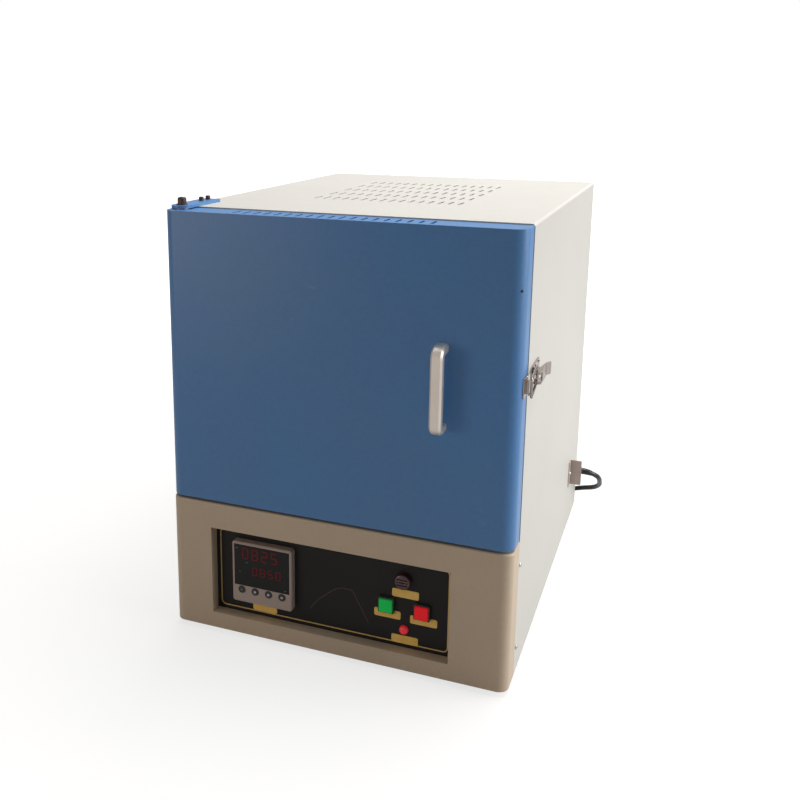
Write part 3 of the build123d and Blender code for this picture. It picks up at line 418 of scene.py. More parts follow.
# Each finish: two tones, the patches' scale and amount, the surface effect with its shade, scale and depth in
# millimetres, the roughness and its spread; wear is a scale, an amount and the tone below
materials = {
    "case_paint": finish("case_paint", cream, (0.64, 0.62, 0.58), (3.5, 0.5), fine_grain, 0.12, 900, 0.03,
                         0.45, 0.2, wear=(22, 0.25, (0.5, 0.48, 0.44)), dust=0.06),
    "fascia_paint": finish("fascia_paint", beige, (0.59, 0.47, 0.35), (6, 0.6), fine_grain, 0.2, 800, 0.035,
                           0.45, 0.2, wear=(26, 0.3, (0.45, 0.4, 0.34))),
    "door_paint": finish("door_paint", blue, (0.095, 0.235, 0.47), (4, 0.6), fine_grain, 0.3, 850, 0.03,
                         0.36, 0.25, wear=(24, 0.3, (0.2, 0.33, 0.5)), Specular_IOR_Level=0.5),
    "bare_steel": finish("bare_steel", steel, (0.47, 0.44, 0.41), (9, 0.7), brushed, 0.3, 60, 0.02, 0.34,
                         0.35, stretch=(1, 14, 14), wear=(40, 0.5, (0.7, 0.69, 0.67)),
                         heat=(0.38, 0.27, 0.16), Metallic=1.0),
    "insulation": finish("insulation", (0.82, 0.80, 0.74), (0.74, 0.69, 0.60), (12, 0.7), fibrous, 0.3, 320,
                         0.5, 0.92, 0.1, wear=(30, 0.4, (0.6, 0.53, 0.44))),
    "hearth": finish("hearth", (0.36, 0.33, 0.29), (0.24, 0.20, 0.17), (16, 0.8), fibrous, 0.5, 700, 0.2,
                     0.85, 0.15, wear=(36, 0.6, (0.5, 0.46, 0.4))),
    "element": finish("element", (0.16, 0.14, 0.13), (0.24, 0.20, 0.16), (60, 0.8), fine_grain, 0.6, 1500,
                      0.05, 0.6, 0.3, Metallic=0.8),
    "porcelain": finish("porcelain", (0.80, 0.78, 0.73), (0.74, 0.70, 0.62), (30, 0.5), fine_grain, 0.1,
                        400, 0.02, 0.22, 0.1, Coat_Weight=0.6),
    "foot_rubber": finish("foot_rubber", (0.025, 0.025, 0.025), (0.05, 0.048, 0.045), (40, 0.6), fine_grain,
                          0.5, 900, 0.06, 0.75, 0.2),
    "screw": finish("screw", (0.62, 0.61, 0.59), (0.50, 0.48, 0.45), (90, 0.6), brushed, 0.3, 300, 0.01,
                    0.28, 0.3, stretch=(3, 3, 3), wear=(220, 0.6, (0.3, 0.27, 0.24)), Metallic=1.0),
    "black_screw": finish("black_screw", (0.055, 0.035, 0.032), (0.10, 0.06, 0.05), (120, 0.7), fine_grain,
                          0.6, 1400, 0.03, 0.42, 0.3, wear=(260, 0.6, (0.3, 0.27, 0.25)), Metallic=0.6),
    "panel": finish("panel", (0.013, 0.0125, 0.012), (0.018, 0.017, 0.015), (10, 0.6), fine_grain, 0.5,
                    1200, 0.02, 0.5, 0.2, wear=(60, 0.25, (0.05, 0.05, 0.048)), Specular_IOR_Level=0.2),
    "controller": finish("controller", (0.48, 0.385, 0.335), (0.44, 0.35, 0.3), (25, 0.5), fine_grain, 0.2,
                         1600, 0.03, 0.5, 0.2),
    "display": finish("display", (0.008, 0.010, 0.009), (0.012, 0.008, 0.008), (30, 0.6), fine_grain, 0.1,
                      200, 0.002, 0.14, 0.08, Specular_IOR_Level=0.25),
    "black_plastic": finish("black_plastic", (0.02, 0.02, 0.02), (0.03, 0.029, 0.028), (40, 0.5),
                            fine_grain, 0.4, 1500, 0.03, 0.5, 0.2, dust=0.12),
    # The green and red caps carry a faint emission: painted glow on push-button caps, which are no lamps
    "green_cap": finish("green_cap", (0.004, 0.66, 0.11), (0.004, 0.58, 0.08), (60, 0.5), fine_grain, 0.15,
                        1400, 0.01, 0.34, 0.15, Specular_IOR_Level=0.3, Emission_Color=(0.004, 0.6, 0.1, 1),
                        Emission_Strength=0.12),
    "red_cap": finish("red_cap", (0.92, 0.012, 0.02), (0.84, 0.01, 0.016), (60, 0.5), fine_grain, 0.15,
                      1400, 0.01, 0.34, 0.15, Specular_IOR_Level=0.3, Emission_Color=(0.9, 0.01, 0.02, 1),
                      Emission_Strength=0.22),
    "dark_red": finish("dark_red", (0.055, 0.012, 0.014), (0.075, 0.016, 0.02), (70, 0.6), fine_grain, 0.3,
                       1300, 0.02, 0.3, 0.2, Coat_Weight=0.4),
    "lamp_red": finish("lamp_red", (0.90, 0.02, 0.04), (0.95, 0.05, 0.07), (160, 0.6), fine_grain, 0.2, 900,
                       0.02, 0.25, 0.1, Coat_Weight=0.3, Emission_Color=(0.9, 0.02, 0.04, 1),
                       Emission_Strength=0.2),
    "brass": finish("brass", (0.60, 0.42, 0.16), (0.42, 0.30, 0.14), (80, 0.7), brushed, 0.3, 300, 0.01,
                    0.32, 0.3, stretch=(1, 1, 8), Metallic=1.0),
    "handle_metal": finish("handle_metal", (0.84, 0.76, 0.68), (0.78, 0.70, 0.62), (30, 0.5), brushed, 0.2,
                           90, 0.012, 0.42, 0.3, stretch=(9, 9, 0.7), wear=(90, 0.5, (0.8, 0.77, 0.73)),
                           Metallic=0.7),
    # The latch's dark brownish colour is partly painted shade and painted dark reflection of its gaps and
    # hollows, over the metal's own tone
    "latch_chrome": finish("latch_chrome", (0.46, 0.40, 0.375), (0.30, 0.25, 0.23), (70, 0.6), brushed, 0.2,
                           260, 0.008, 0.16, 0.25, stretch=(1, 1, 5), wear=(160, 0.5, (0.35, 0.3, 0.27)),
                           Metallic=1.0),
    "sink_aluminium": finish("sink_aluminium", (0.60, 0.60, 0.61), (0.52, 0.52, 0.53), (30, 0.5), brushed,
                             0.25, 120, 0.01, 0.38, 0.3, stretch=(8, 8, 0.6), dust=0.2, Metallic=1.0),
    "bracket_paint": finish("bracket_paint", (0.52, 0.43, 0.39), (0.46, 0.38, 0.33), (30, 0.6), fine_grain,
                            0.2, 900, 0.03, 0.45, 0.2, wear=(120, 0.4, (0.35, 0.3, 0.27))),
    "cord_rubber": finish("cord_rubber", (0.010, 0.009, 0.009), (0.018, 0.016, 0.015), (40, 0.6),
                          fine_grain, 0.4, 1300, 0.02, 0.27, 0.15, dust=0.02, Specular_IOR_Level=0.5),
    "label_yellow": finish("label_yellow", (0.95, 0.64, 0.17), (0.88, 0.52, 0.10), (50, 0.6), fine_grain,
                           0.25, 1200, 0.01, 0.45, 0.15, wear=(160, 0.35, (0.4, 0.22, 0.06))),
    "border_gold": finish("border_gold", (0.75, 0.52, 0.19), (0.62, 0.40, 0.12), (40, 0.6), fine_grain, 0.3,
                          1300, 0.01, 0.42, 0.15, wear=(90, 0.4, (0.12, 0.08, 0.03))),
    "print_red": finish("print_red", (0.055, 0.014, 0.014), (0.04, 0.012, 0.012), (60, 0.6), fine_grain,
                        0.3, 1300, 0.01, 0.5, 0.15),
    "digit_red": finish("digit_red", (0.12, 0.010, 0.010), (0.09, 0.008, 0.008), (90, 0.6), fine_grain, 0.2,
                        900, 0.005, 0.4, 0.1, Specular_IOR_Level=0.2, Emission_Color=(0.8, 0.02, 0.02, 1),
                        Emission_Strength=0.03),
    "dot_white": finish("dot_white", (0.62, 0.63, 0.62), (0.5, 0.51, 0.5), (200, 0.6), fine_grain, 0.2,
                        1600, 0.01, 0.35, 0.15),
    "mark_grey": finish("mark_grey", (0.16, 0.11, 0.11), (0.12, 0.08, 0.08), (120, 0.6), fine_grain, 0.3,
                        1300, 0.01, 0.45, 0.15),
    "pin_metal": finish("pin_metal", (0.66, 0.62, 0.52), (0.56, 0.52, 0.44), (80, 0.6), brushed, 0.25, 300,
                        0.01, 0.25, 0.25, stretch=(0.7, 6, 6), Metallic=1.0),
    "tie_strap": finish("tie_strap", (0.03, 0.03, 0.032), (0.05, 0.05, 0.05), (60, 0.6), fibrous, 0.5, 1500,
                        0.1, 0.85, 0.1),
}
for entry in frame["record"]["subparts"]:
    piece = nodes[entry["node"]]
    piece.data.materials.clear()
    piece.data.materials.append(materials[entry["material_slot"]])

# Pieces on the cord: boot at the case, plug with its pins, tie round the coil
cord.data.materials.append(materials["cord_rubber"])
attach(cord, "cabinet")
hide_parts("cord_tube", "cord_coil")
boot_line = cord_line[:2]
boot_length = 26
boot_root = 6.4
boot_taper = 1.4
boot_rib = 0.35
for point in cord_line[2:]:
    boot_line.append(point)
    if (point - cord_line[0]).length > boot_length * MM:
        break
boot_steps = len(boot_line) - 1
boot_radii = [boot_root - boot_taper * index / boot_steps + boot_rib * (index % 2)
              for index in range(boot_steps + 1)]
bm = bmesh.new()
sleeve(bm, boot_line, boot_radii)
cord_boot = keep("cord_boot", mesh_from(bm, "cord_boot", True), materials["cord_rubber"], "cabinet")

plug_front = 68
plug_back = 112
plug_sides = 40
body_squareness = 0.55

# The plug and its boot from the pins to the cord: place along x, half width, half height
plug_shape = [(plug_front, 16.5, 11.6), (plug_front + 1.5, 17.8, 12.7), (80, 18, 13), (84, 18, 13),
              (85, 17.2, 12.3), (87, 17.2, 12.3), (88, 17.8, 12.8), (90, 17.6, 12.6), (91, 16.6, 11.9),
              (93, 16.4, 11.8), (94, 16.8, 12.2), (97, 16, 11.8), (104, 12, 9.5), (110, 8.8, 8),
              (113, 7.4, 7.4), (118, 6.9, 6.9), (119, 6.2, 6.2), (122, 6.2, 6.2), (123, 6.7, 6.7),
              (127, 6.5, 6.5), (128, 5.8, 5.8), (131, 5.8, 5.8), (132, 6.2, 6.2), (136, 6, 6),
              (137, 5.4, 5.4), (143, 5.1, 5.1), (145, 4.7, 4.7)]


def rounded(share, roundness):
    """A sine or cosine pushed outwards, which makes a circle squarer the smaller the roundness is."""
    return math.copysign(abs(share) ** roundness, share)


bm = bmesh.new()
rings = []
for x, across, tall in plug_shape:
    roundness = body_squareness if x < plug_back else 1.0
    ring = []
    for side in range(plug_sides):
        angle = TURN * side / plug_sides
        y = rounded(math.cos(angle), roundness) * across
        z = rounded(math.sin(angle), roundness) * tall
        ring.append(bm.verts.new(at(x, plug_y + y, plug_z + z)))
    rings.append(ring)
for ring, following in zip(rings, rings[1:]):
    for side in range(plug_sides):
        after = (side + 1) % plug_sides
        bm.faces.new((ring[side], ring[after], following[after], following[side]))
bm.faces.new(rings[0])
bm.faces.new(rings[-1])
plug_body = keep("plug_body", mesh_from(bm, "plug_body", True), materials["black_plastic"], "cabinet")
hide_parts("plug")

pin_gap = 19
pin_places = (plug_front + 1, 60, 59.8, 52, 49.6, 49.05)
pin_radii = (2.4, 2.4, 2.1, 2.1, 1.9, 1.1)
bm = bmesh.new()
for side in (-1, 1):
    pin_line = [at(x, plug_y + side * pin_gap / 2, plug_z) for x in pin_places]
    sleeve(bm, pin_line, pin_radii, 20)
plug_pins = keep("plug_pins", mesh_from(bm, "plug_pins", True), materials["pin_metal"], "cabinet")

# Strap round the coil's section, at one place of its ring
tie_width = 9
tie_angle = 1.1
tie_steps = 48
tie_thickness = 0.9
tie_radius = 50
tie_half_out = 13.6
tie_half_rise = 9.2
tie_squareness = 0.5
tie_across = Vector((math.cos(tie_angle), math.sin(tie_angle), 0))
tie_along = Vector((-math.sin(tie_angle), math.cos(tie_angle), 0))
tie_middle = at(coil_x, coil_y, floor_z + tie_half_rise + 0.1)
tie_rings = []
bm = bmesh.new()
for step in range(tie_steps):
    angle = TURN * step / tie_steps
    out = tie_half_out * rounded(math.cos(angle), tie_squareness)
    rise = tie_half_rise * rounded(math.sin(angle), tie_squareness)
    ring = []
    for depth, side in ((0, -1), (0, 1), (tie_thickness, 1), (tie_thickness, -1)):
        inner_out = tie_radius + out * (1 - depth / tie_half_out)
        lift = Vector((0, 0, rise * (1 - depth / tie_half_rise)))
        from_middle = inner_out * tie_across + side * tie_width / 2 * tie_along + lift
        ring.append(bm.verts.new(tie_middle + from_middle * MM))
    tie_rings.append(ring)
for index, ring in enumerate(tie_rings):
    following = tie_rings[(index + 1) % tie_steps]
    for side in range(4):
        after = (side + 1) % 4
        bm.faces.new((ring[side], ring[after], following[after], following[side]))
coil_tie = keep("coil_tie", mesh_from(bm, "coil_tie", True), materials["tie_strap"], "cabinet")

# Prints and small marks on the control panel
panel_face = 17
print_height = 0.3
print_sunk = 0.05
label_half_width = 19.5
label_half_height = 6.2
label_corner = 2.5
label_places = ((106, 107.5), (80, 72.5), (133, 71), (106, 37), (-111, 39))
border_box = (-183, 168, 31.5, 155)
border_corner = 7
border_width = 1.7
curve_width = 1.5
curve_points = [(-38, 54), (-35, 59), (-24, 72.5), (-6, 88), (2.4, 94), (12, 97), (25, 97), (30, 92),
                (38, 76), (46, 62), (52, 51)]


def rounded_outline(x0, x1, z0, z1, corner, steps=6):
    """Points of a rounded rectangle in the panel's plane, in order."""
    points = []
    middles = ((x1 - corner, z1 - corner, 0), (x0 + corner, z1 - corner, 1), (x0 + corner, z0 + corner, 2),
               (x1 - corner, z0 + corner, 3))
    for x, z, quarter in middles:
        for step in range(steps + 1):
            angle = TURN / 4 * (quarter + step / steps)
            points.append((x + corner * math.cos(angle), z + corner * math.sin(angle)))
    return points


def slab(bm, outline, front, back):
    """Adds a flat slab with an outline in the panel's plane, from its front to its back."""
    faces = [[bm.verts.new(at(x, y, z)) for x, z in outline] for y in (front, back)]
    bm.faces.new(faces[0])
    bm.faces.new(list(reversed(faces[1])))
    for index in range(len(outline)):
        after = (index + 1) % len(outline)
        bm.faces.new((faces[0][index], faces[1][index], faces[1][after], faces[0][after]))


def ribbon(bm, points, width, front, back, closed=False):
    """Adds a flat ribbon along points in the panel's plane."""
    count = len(points)
    rows = []
    for index, (x, z) in enumerate(points):
        before = points[index - 1] if closed or index > 0 else points[index]
        after = points[(index + 1) % count] if closed or index < count - 1 else points[index]
        run = Vector((after[0] - before[0], after[1] - before[1])).normalized()
        aside = Vector((-run.y, run.x)) * width / 2
        rows.append([bm.verts.new(at(x + side * aside.x, y, z + side * aside.y))
                     for side, y in ((-1, front), (1, front), (1, back), (-1, back))])
    links = range(count) if closed else range(count - 1)
    for index in links:
        following = rows[(index + 1) % count]
        for side in range(4):
            after = (side + 1) % 4
            bm.faces.new((rows[index][side], rows[index][after], following[after], following[side]))
    if not closed:
        bm.faces.new(rows[0])
        bm.faces.new(list(reversed(rows[-1])))


bm = bmesh.new()
for x, z in label_places:
    slab(bm, rounded_outline(x - label_half_width, x + label_half_width, z - label_half_height,
                             z + label_half_height, label_corner),
         panel_face - 2 * print_height, panel_face + print_sunk)
keep("label_plates", mesh_from(bm, "label_plates"), materials["label_yellow"], "cabinet")
bm = bmesh.new()
ribbon(bm, rounded_outline(*border_box, border_corner), border_width, panel_face - print_height,
       panel_face + print_sunk, True)
keep("panel_border", mesh_from(bm, "panel_border"), materials["border_gold"], "cabinet")
bm = bmesh.new()
ribbon(bm, curve_points, curve_width, panel_face - print_height, panel_face + print_sunk)
keep("heating_curve", mesh_from(bm, "heating_curve"), materials["print_red"], "cabinet")

# Seven-segment digits behind the window, with their small lamps
window_face = 5.6
segment_places = {"top": (0, 1, True), "middle": (0, 0, True), "bottom": (0, -1, True),
                  "upper_left": (-1, 0.5, False), "upper_right": (1, 0.5, False),
                  "lower_left": (-1, -0.5, False), "lower_right": (1, -0.5, False)}
digit_segments = {"0": [name for name in segment_places if name != "middle"],
                  "2": ["top", "upper_right", "middle", "lower_left", "bottom"],
                  "5": ["top", "upper_left", "middle", "lower_right", "bottom"],
                  "8": list(segment_places)}
mark_height = 0.25
bar_share = 0.2
bar_gap_share = 0.15

# Each row: its digits, the middle of the first, the step to the next, the row's height, a digit's two sizes
digit_rows = (("0825", -137, 15.5, 127, 10.5, 18), ("0850", -122, 12.6, 101, 8.2, 14))

# Each small lamp in the window: its middle and its width
window_marks = ((-150.5, 134, 3.4), (-134.5, 113, 3.6), (-146, 97, 2.4), (-73, 79.5, 3))


def digit(bm, shape, x, z, width, height):
    """Adds one seven-segment digit round a middle."""
    bar = width * bar_share
    short = bar * bar_gap_share
    for name in digit_segments[shape]:
        across, upward, lies = segment_places[name]
        middle_x = x + across * (width - bar) / 2
        middle_z = z + upward * (height - bar) / 2
        half_x = (width - bar) / 2 - short if lies else bar / 2
        half_z = bar / 2 if lies else (height - bar) / 4 - short
        plate(bm, middle_x - half_x, middle_x + half_x, window_face - mark_height, window_face + print_sunk,
              middle_z - half_z, middle_z + half_z)


bm = bmesh.new()
for shapes, first_x, step_x, row_z, width, height in digit_rows:
    for place, shape in enumerate(shapes):
        digit(bm, shape, first_x + place * step_x, row_z, width, height)
keep("display_digits", mesh_from(bm, "display_digits"), materials["digit_red"], "cabinet")
bm = bmesh.new()
for x, z, size in window_marks:
    slab(bm, rounded_outline(x - size / 2, x + size / 2, z - size / 4, z + size / 4, size / 5, 3),
         window_face - mark_height, window_face + print_sunk)
keep("display_marks", mesh_from(bm, "display_marks"), materials["mark_grey"], "cabinet")

# One dot on each key
key_face = 4
key_places = (-143.05, -121.35, -99.65, -77.95)
key_height = 68.8
dot_radius = 1.9
dot_corner = 1.85
for number, x in enumerate(key_places, 1):
    bm = bmesh.new()
    dot = rounded_outline(x - dot_radius, x + dot_radius, key_height - dot_radius, key_height + dot_radius,
                          dot_corner, 5)
    slab(bm, dot, key_face - mark_height, key_face + print_sunk)
    finish_name = "mark_grey" if number == 1 else "dot_white"
    keep(f"key_dot_{number}", mesh_from(bm, f"key_dot_{number}"), materials[finish_name], f"key_{number}")

# Two curved light arcs on the buzzer's face: painted highlights of its domed face, shaped as a sound symbol
buzzer_x = 103
buzzer_z = 128
buzzer_face = 8
mark_radius = 3
mark_gap = 2.2
mark_width = 1.3
mark_rise = 0.2
mark_sunk = 0.3
mark_reach = 1.1
mark_steps = 8
bends = [mark_reach * (2 * step / mark_steps - 1) for step in range(mark_steps + 1)]
bm = bmesh.new()
for side in (-1, 1):
    arc = []
    for bend in bends:
        out = mark_gap + mark_radius * math.cos(bend)
        arc.append((buzzer_x + side * out, buzzer_z + mark_radius * math.sin(bend)))
    ribbon(bm, arc, mark_width, buzzer_face - mark_rise, buzzer_face + mark_sunk)
keep("buzzer_marks", mesh_from(bm, "buzzer_marks"), materials["mark_grey"], "cabinet")

# Screws and rivets, set along a direction by one Geometry Nodes tree
setter = bpy.data.node_groups.new("set_fasteners", "GeometryNodeTree")
setter.interface.new_socket(name="Places", in_out="INPUT", socket_type="NodeSocketGeometry")
piece_socket = setter.interface.new_socket(name="Piece", in_out="INPUT", socket_type="NodeSocketObject")
finish_socket = setter.interface.new_socket(name="Finish", in_out="INPUT", socket_type="NodeSocketMaterial")
size_socket = setter.interface.new_socket(name="Size", in_out="INPUT", socket_type="NodeSocketFloat")
setter.interface.new_socket(name="Set", in_out="OUTPUT", socket_type="NodeSocketGeometry")
setter_in = setter.nodes.new("NodeGroupInput").outputs
setter_out = setter.nodes.new("NodeGroupOutput").inputs
facing = node(setter, "GeometryNodeInputNamedAttribute", {"Name": "facing"}, data_type="FLOAT_VECTOR")
aligned = node(setter, "FunctionNodeAlignRotationToVector", {"Vector": facing.outputs["Attribute"]}, axis="Z")
turn_value = node(setter, "FunctionNodeRandomValue", data_type="FLOAT")
turn_value.inputs[2].default_value = 0
turn_value.inputs[3].default_value = TURN
turn_value.inputs["Seed"].default_value = 7
spun = node(setter, "FunctionNodeAxisAngleToRotation", {"Axis": (0, 0, 1), "Angle": turn_value.outputs[1]})
combined = node(setter, "FunctionNodeRotateRotation", {0: aligned.outputs[0], 1: spun.outputs[0]},
                rotation_space="LOCAL")
source = node(setter, "GeometryNodeObjectInfo", {"Object": setter_in["Piece"]})
placed = node(setter, "GeometryNodeInstanceOnPoints",
              {"Points": setter_in["Places"], "Instance": source.outputs["Geometry"],
               "Rotation": combined.outputs[0], "Scale": setter_in["Size"]})
real = node(setter, "GeometryNodeRealizeInstances", {"Geometry": placed.outputs[0]})
coated = node(setter, "GeometryNodeSetMaterial",
              {"Geometry": real.outputs[0], "Material": setter_in["Finish"]})
setter.links.new(coated.outputs[0], setter_out[0])

# Proportions of the fasteners, as shares of the shank, the head or the head's height
fastener_sides = 48
dome_steps = 4
dome_inset = 0.5
crown_share = 0.2
tip_share = 0.35
tip_length = 0.15
foot_share = 0.1
washer_share = 0.09
knurl_share = 0.02
recess_share = 0.55
cross_long = 0.58
cross_wide = 0.13
hex_share = 0.29


def fastener_profile(head, rise, shank, length, dome, washer):
    """Radius and height of each ring of a fastener, from its tip to the middle of its head."""
    profile = [(0, -length), (shank * tip_share, -length), (shank / 2, -length + shank * tip_length),
               (shank / 2, 0)]
    if washer > 0:
        profile += [(washer / 2, 0), (washer / 2, rise * washer_share), (head / 2, rise * washer_share)]
    profile += [(head / 2, 0 if washer == 0 else rise * foot_share), (head / 2, rise * (1 - dome))]
    for step in range(1, dome_steps + 1):
        bend = TURN / 4 * step / (dome_steps + 1)
        radius = head / 2 * (1 - dome_inset * (1 - math.cos(bend)))
        profile.append((radius, rise * (1 - dome + dome * math.sin(bend))))
    return profile + [(head * crown_share, rise), (0, rise)]


def object_of(bm, name):
    """An object in the scene from a bmesh."""
    mesh = bpy.data.meshes.new(name)
    bm.to_mesh(mesh)
    bm.free()
    piece = bpy.data.objects.new(name, mesh)
    bpy.context.scene.collection.objects.link(piece)
    return piece


def recess(name, head, rise, socket):
    """The cutter for a cross recess or a hexagon socket in a fastener's head."""
    bm = bmesh.new()
    height = 2 * rise * recess_share * MM
    middle = Matrix.Translation((0, 0, rise * MM))
    if socket == "cross":
        for along, across in ((cross_long, cross_wide), (cross_wide, cross_long)):
            place = middle @ Matrix.Diagonal((head * along * MM, head * across * MM, height, 1))
            bmesh.ops.create_cube(bm, size=1, matrix=place)
    else:
        radius = head * hex_share * MM
        bmesh.ops.create_cone(bm, cap_ends=True, segments=6, radius1=radius, radius2=radius, depth=height,
                              matrix=middle)
    return object_of(bm, name)


def fastener(name, head, rise, shank, length, socket="cross", dome=0.5, washer=0.0, knurled=False):
    """A screw along +Z with its head's seat at 0, as an object for the tree to copy."""
    bm = bmesh.new()
    rings = []
    for radius, z in fastener_profile(head, rise, shank, length, dome, washer):
        if radius == 0:
            rings.append([bm.verts.new((0, 0, z * MM))])
            continue
        ridged = knurled and abs(radius - head / 2) < 0.01
        ring = []
        for side in range(fastener_sides):
            reach = radius * MM * (1 - knurl_share) if ridged and side % 2 else radius * MM
            angle = TURN * side / fastener_sides
            ring.append(bm.verts.new((reach * math.cos(angle), reach * math.sin(angle), z * MM)))
        rings.append(ring)
    for ring, following in zip(rings, rings[1:]):
        for side in range(fastener_sides):
            after = (side + 1) % fastener_sides
            corners = [ring[side % len(ring)], ring[after % len(ring)], following[after % len(following)],
                       following[side % len(following)]]
            bm.faces.new(list(dict.fromkeys(corners)))
    bmesh.ops.recalc_face_normals(bm, faces=bm.faces)
    piece = object_of(bm, name)
    cutter = recess(name + "_recess", head, rise, socket)
    cut = piece.modifiers.new("recess", "BOOLEAN")
    cut.operation = "DIFFERENCE"
    cut.solver = "EXACT"
    cut.use_self = True
    cut.object = cutter
    shape = plain_mesh(piece, name)
    bpy.data.objects.remove(cutter)
    made = bpy.data.objects.new(name, shape)
    bpy.context.scene.collection.objects.link(made)
    return made


def set_fasteners(name, piece, places, finish_name, body, replaced=None, size=1.0):
    """Sets copies of a fastener at places, each with the direction that it faces, as one piece on a body."""
    mesh = bpy.data.meshes.new(name)
    mesh.from_pydata([at(*place) for place, way in places], [], [])
    ways = mesh.attributes.new("facing", "FLOAT_VECTOR", "POINT")
    ways.data.foreach_set("vector", [value for place, way in places for value in way])
    holder = bpy.data.objects.new(name, mesh)
    bpy.context.scene.collection.objects.link(holder)
    setting = holder.modifiers.new("set", "NODES")
    setting.node_group = setter
    setting[piece_socket.identifier] = piece
    setting[finish_socket.identifier] = materials[finish_name]
    setting[size_socket.identifier] = size
    shape = plain_mesh(holder, name)
    made = keep(name, shape, materials[finish_name], body)
    if replaced is not None:
        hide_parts(replaced)
    return made


# Places of the fasteners
case_side = 255
screw_rows = (39.5, 164)
rear_face = 668
rear_columns = (-246, 246)
rear_rows = (40, 315, 590)
grille_face = 670.4
fan_x = -110
fan_z = 105
fan_screw_offset = 52.5
bracket_face = 634
hinge_x = -238.5
latch_z = 424.5
pan_screw = fastener("pan_screw", head=7, rise=2.2, shank=4, length=9)
rear_pan_screw = fastener("rear_pan_screw", head=8, rise=2.4, shank=4, length=16)
cap_screw = fastener("cap_screw", head=7.2, rise=6, shank=4, length=14, socket="hex", dome=0.2, knurled=True)
pivot_bolt = fastener("pivot_bolt", head=12.6, rise=11, shank=8, length=17.4, socket="hex", dome=0.3,
                      washer=16, knurled=True)
rivet = fastener("rivet", head=4.6, rise=1.3, shank=2, length=1.5, dome=0.9)
right_way = (1, 0, 0)
left_way = (-1, 0, 0)
back_way = (0, 1, 0)
up_way = (0, 0, 1)
side_places = [((case_side, 54, z), right_way) for z in screw_rows]
side_places += [((-case_side, 54, z), left_way) for z in screw_rows]
side_places.append(((case_side + 1.5, 551.5, 103.5), right_way))
set_fasteners("side_screw_set", pan_screw, side_places, "screw", "cabinet", "side_screws")
rear_places = [((x, rear_face, z), back_way) for x in rear_columns for z in rear_rows]
for across in (-fan_screw_offset, fan_screw_offset):
    for rise in (-fan_screw_offset, fan_screw_offset):
        rear_places.append(((fan_x + across, grille_face, fan_z + rise), back_way))
set_fasteners("rear_screw_set", rear_pan_screw, rear_places, "screw", "cabinet", "rear_screws")
set_fasteners("bracket_screw_set", cap_screw, [((hinge_x, y, bracket_face), up_way) for y in (82, 102)],
              "black_screw", "cabinet", "bracket_screws")
set_fasteners("hinge_bolt_set", pivot_bolt, [((hinge_x, 27, bracket_face), up_way)], "black_screw", "cabinet",
              "hinge_bolt")
base_places = [((case_side + 2, y, latch_z + rise), right_way)
               for y in (92, 115) for rise in (-11.5, 11.5)]
set_fasteners("latch_rivets", rivet, base_places, "latch_chrome", "cabinet")
keeper_places = [((case_side + 1.5, 33.5, latch_z + rise), right_way) for rise in (-9.5, 9.5)]
set_fasteners("keeper_rivets", rivet, keeper_places, "latch_chrome", "door")
# A small black dome fills the door's hole: a dark part that stands in for the shade inside the hole
set_fasteners("door_hole_plug", rivet, [((249.6, 5.4, 552), (1, -1, 0))], "black_plastic", "door", size=0.85)
for spare in (pan_screw, rear_pan_screw, cap_screw, pivot_bolt, rivet):
    bpy.data.objects.remove(spare)

# Floor and surroundings: white to the camera, with the furnace's shadow kept
floor_mesh = bpy.data.meshes.new("floor")
floor_reach = 12
floor_low = at(0, 0, floor_z).z
floor_mesh.from_pydata([(x * floor_reach, y * floor_reach, floor_low) for x, y in
                        ((-1, -1), (1, -1), (1, 1), (-1, 1))], [], [(0, 1, 2, 3)])
floor = bpy.data.objects.new("floor", floor_mesh)
bpy.context.scene.collection.objects.link(floor)

# The floor as the camera, a mirror and the other rays see it; its glow grows with the distance in metres
floor_tones = ((0.37, 0.365, 0.36, 1), (0.355, 0.35, 0.345, 1))
glow_near = 0.72
glow_more = 0.5
fade_edge = (0.7, 1.8)
floor_mirror_glow = 0.3
room_strength = 0.16
room_mirror_strength = 0.42
floor_finish, tree, shader = material_start("floor", {"Roughness": 0.9, "Specular IOR Level": 0.1})
floor_where = tree.nodes.new("ShaderNodeTexCoord").outputs["Object"]
tree.links.new(mixed(tree, cloud(tree, floor_where, 2, 3), *floor_tones), shader.inputs["Base Color"])
away = node(tree, "ShaderNodeVectorMath", {0: floor_where}, operation="LENGTH").outputs["Value"]
fade = calc(tree, "ADD", calc(tree, "MULTIPLY", between(tree, away, *fade_edge), glow_more), glow_near)
glow = node(tree, "ShaderNodeEmission", {"Color": (1, 1, 1, 1), "Strength": fade})
mirror_glow = node(tree, "ShaderNodeEmission", {"Color": (1, 1, 1, 1), "Strength": floor_mirror_glow})
rays = tree.nodes.new("ShaderNodeLightPath").outputs
glowing = node(tree, "ShaderNodeAddShader", {0: shader.outputs[0], 1: glow.outputs[0]})
mirrored = node(tree, "ShaderNodeAddShader", {0: shader.outputs[0], 1: mirror_glow.outputs[0]})
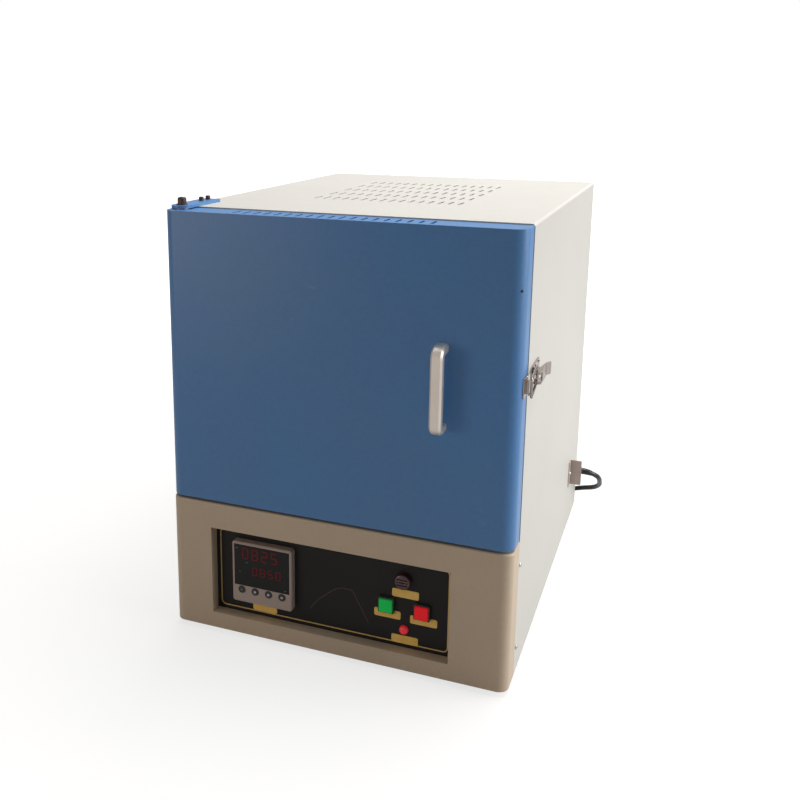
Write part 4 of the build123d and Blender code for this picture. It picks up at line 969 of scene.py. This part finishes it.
to_camera = node(tree, "ShaderNodeMixShader",
                 {0: rays["Is Camera Ray"], 1: shader.outputs[0], 2: glowing.outputs[0]})
to_all = node(tree, "ShaderNodeMixShader",
              {0: rays["Is Glossy Ray"], 1: to_camera.outputs[0], 2: mirrored.outputs[0]})
tree.links.new(to_all.outputs[0], tree.nodes["Material Output"].inputs["Surface"])
floor.data.materials.append(floor_finish)

world = bpy.data.worlds.new("studio")
bpy.context.scene.world = world
world.use_nodes = True
tree = world.node_tree
room_light = tree.nodes["Background"]
room_light.inputs["Color"].default_value = (0.92, 0.96, 1.0, 1)
room_light.inputs["Strength"].default_value = room_strength
white = node(tree, "ShaderNodeBackground", {"Color": (1, 1, 1, 1), "Strength": 1.0})
rays = tree.nodes.new("ShaderNodeLightPath").outputs
mirrored = node(tree, "ShaderNodeBackground", {"Color": (1, 1, 1, 1), "Strength": room_mirror_strength})
to_mirrors = node(tree, "ShaderNodeMixShader",
                  {0: rays["Is Glossy Ray"], 1: room_light.outputs[0], 2: mirrored.outputs[0]})
to_all = node(tree, "ShaderNodeMixShader",
              {0: rays["Is Camera Ray"], 1: to_mirrors.outputs[0], 2: white.outputs[0]})
tree.links.new(to_all.outputs[0], tree.nodes["World Output"].inputs["Surface"])


def lamp(name, place, target, width, height, power, tint):
    """An area lamp at a place in metres, turned to a target."""
    data = bpy.data.lights.new(name, "AREA")
    data.shape = "RECTANGLE"
    data.size = width
    data.size_y = height
    data.energy = power
    data.color = tint
    made = bpy.data.objects.new(name, data)
    bpy.context.scene.collection.objects.link(made)
    made.location = place
    made.rotation_euler = (Vector(target) - Vector(place)).to_track_quat("-Z", "Y").to_euler()


lamp("right_window", (3.0, 0.5, 1.3), (0.1, 0.1, 0.35), width=2.2, height=2.0, power=78,
     tint=(1.0, 0.995, 0.98))
lamp("ceiling", (0.3, 0.7, 2.8), (0.0, 0.1, 0.4), width=2.2, height=2.2, power=77, tint=(1.0, 0.98, 0.955))
lamp("left_front", (-1.9, -2.5, 0.6), (0.0, -0.2, 0.35), width=1.3, height=1.3, power=15,
     tint=(1.0, 0.84, 0.72))
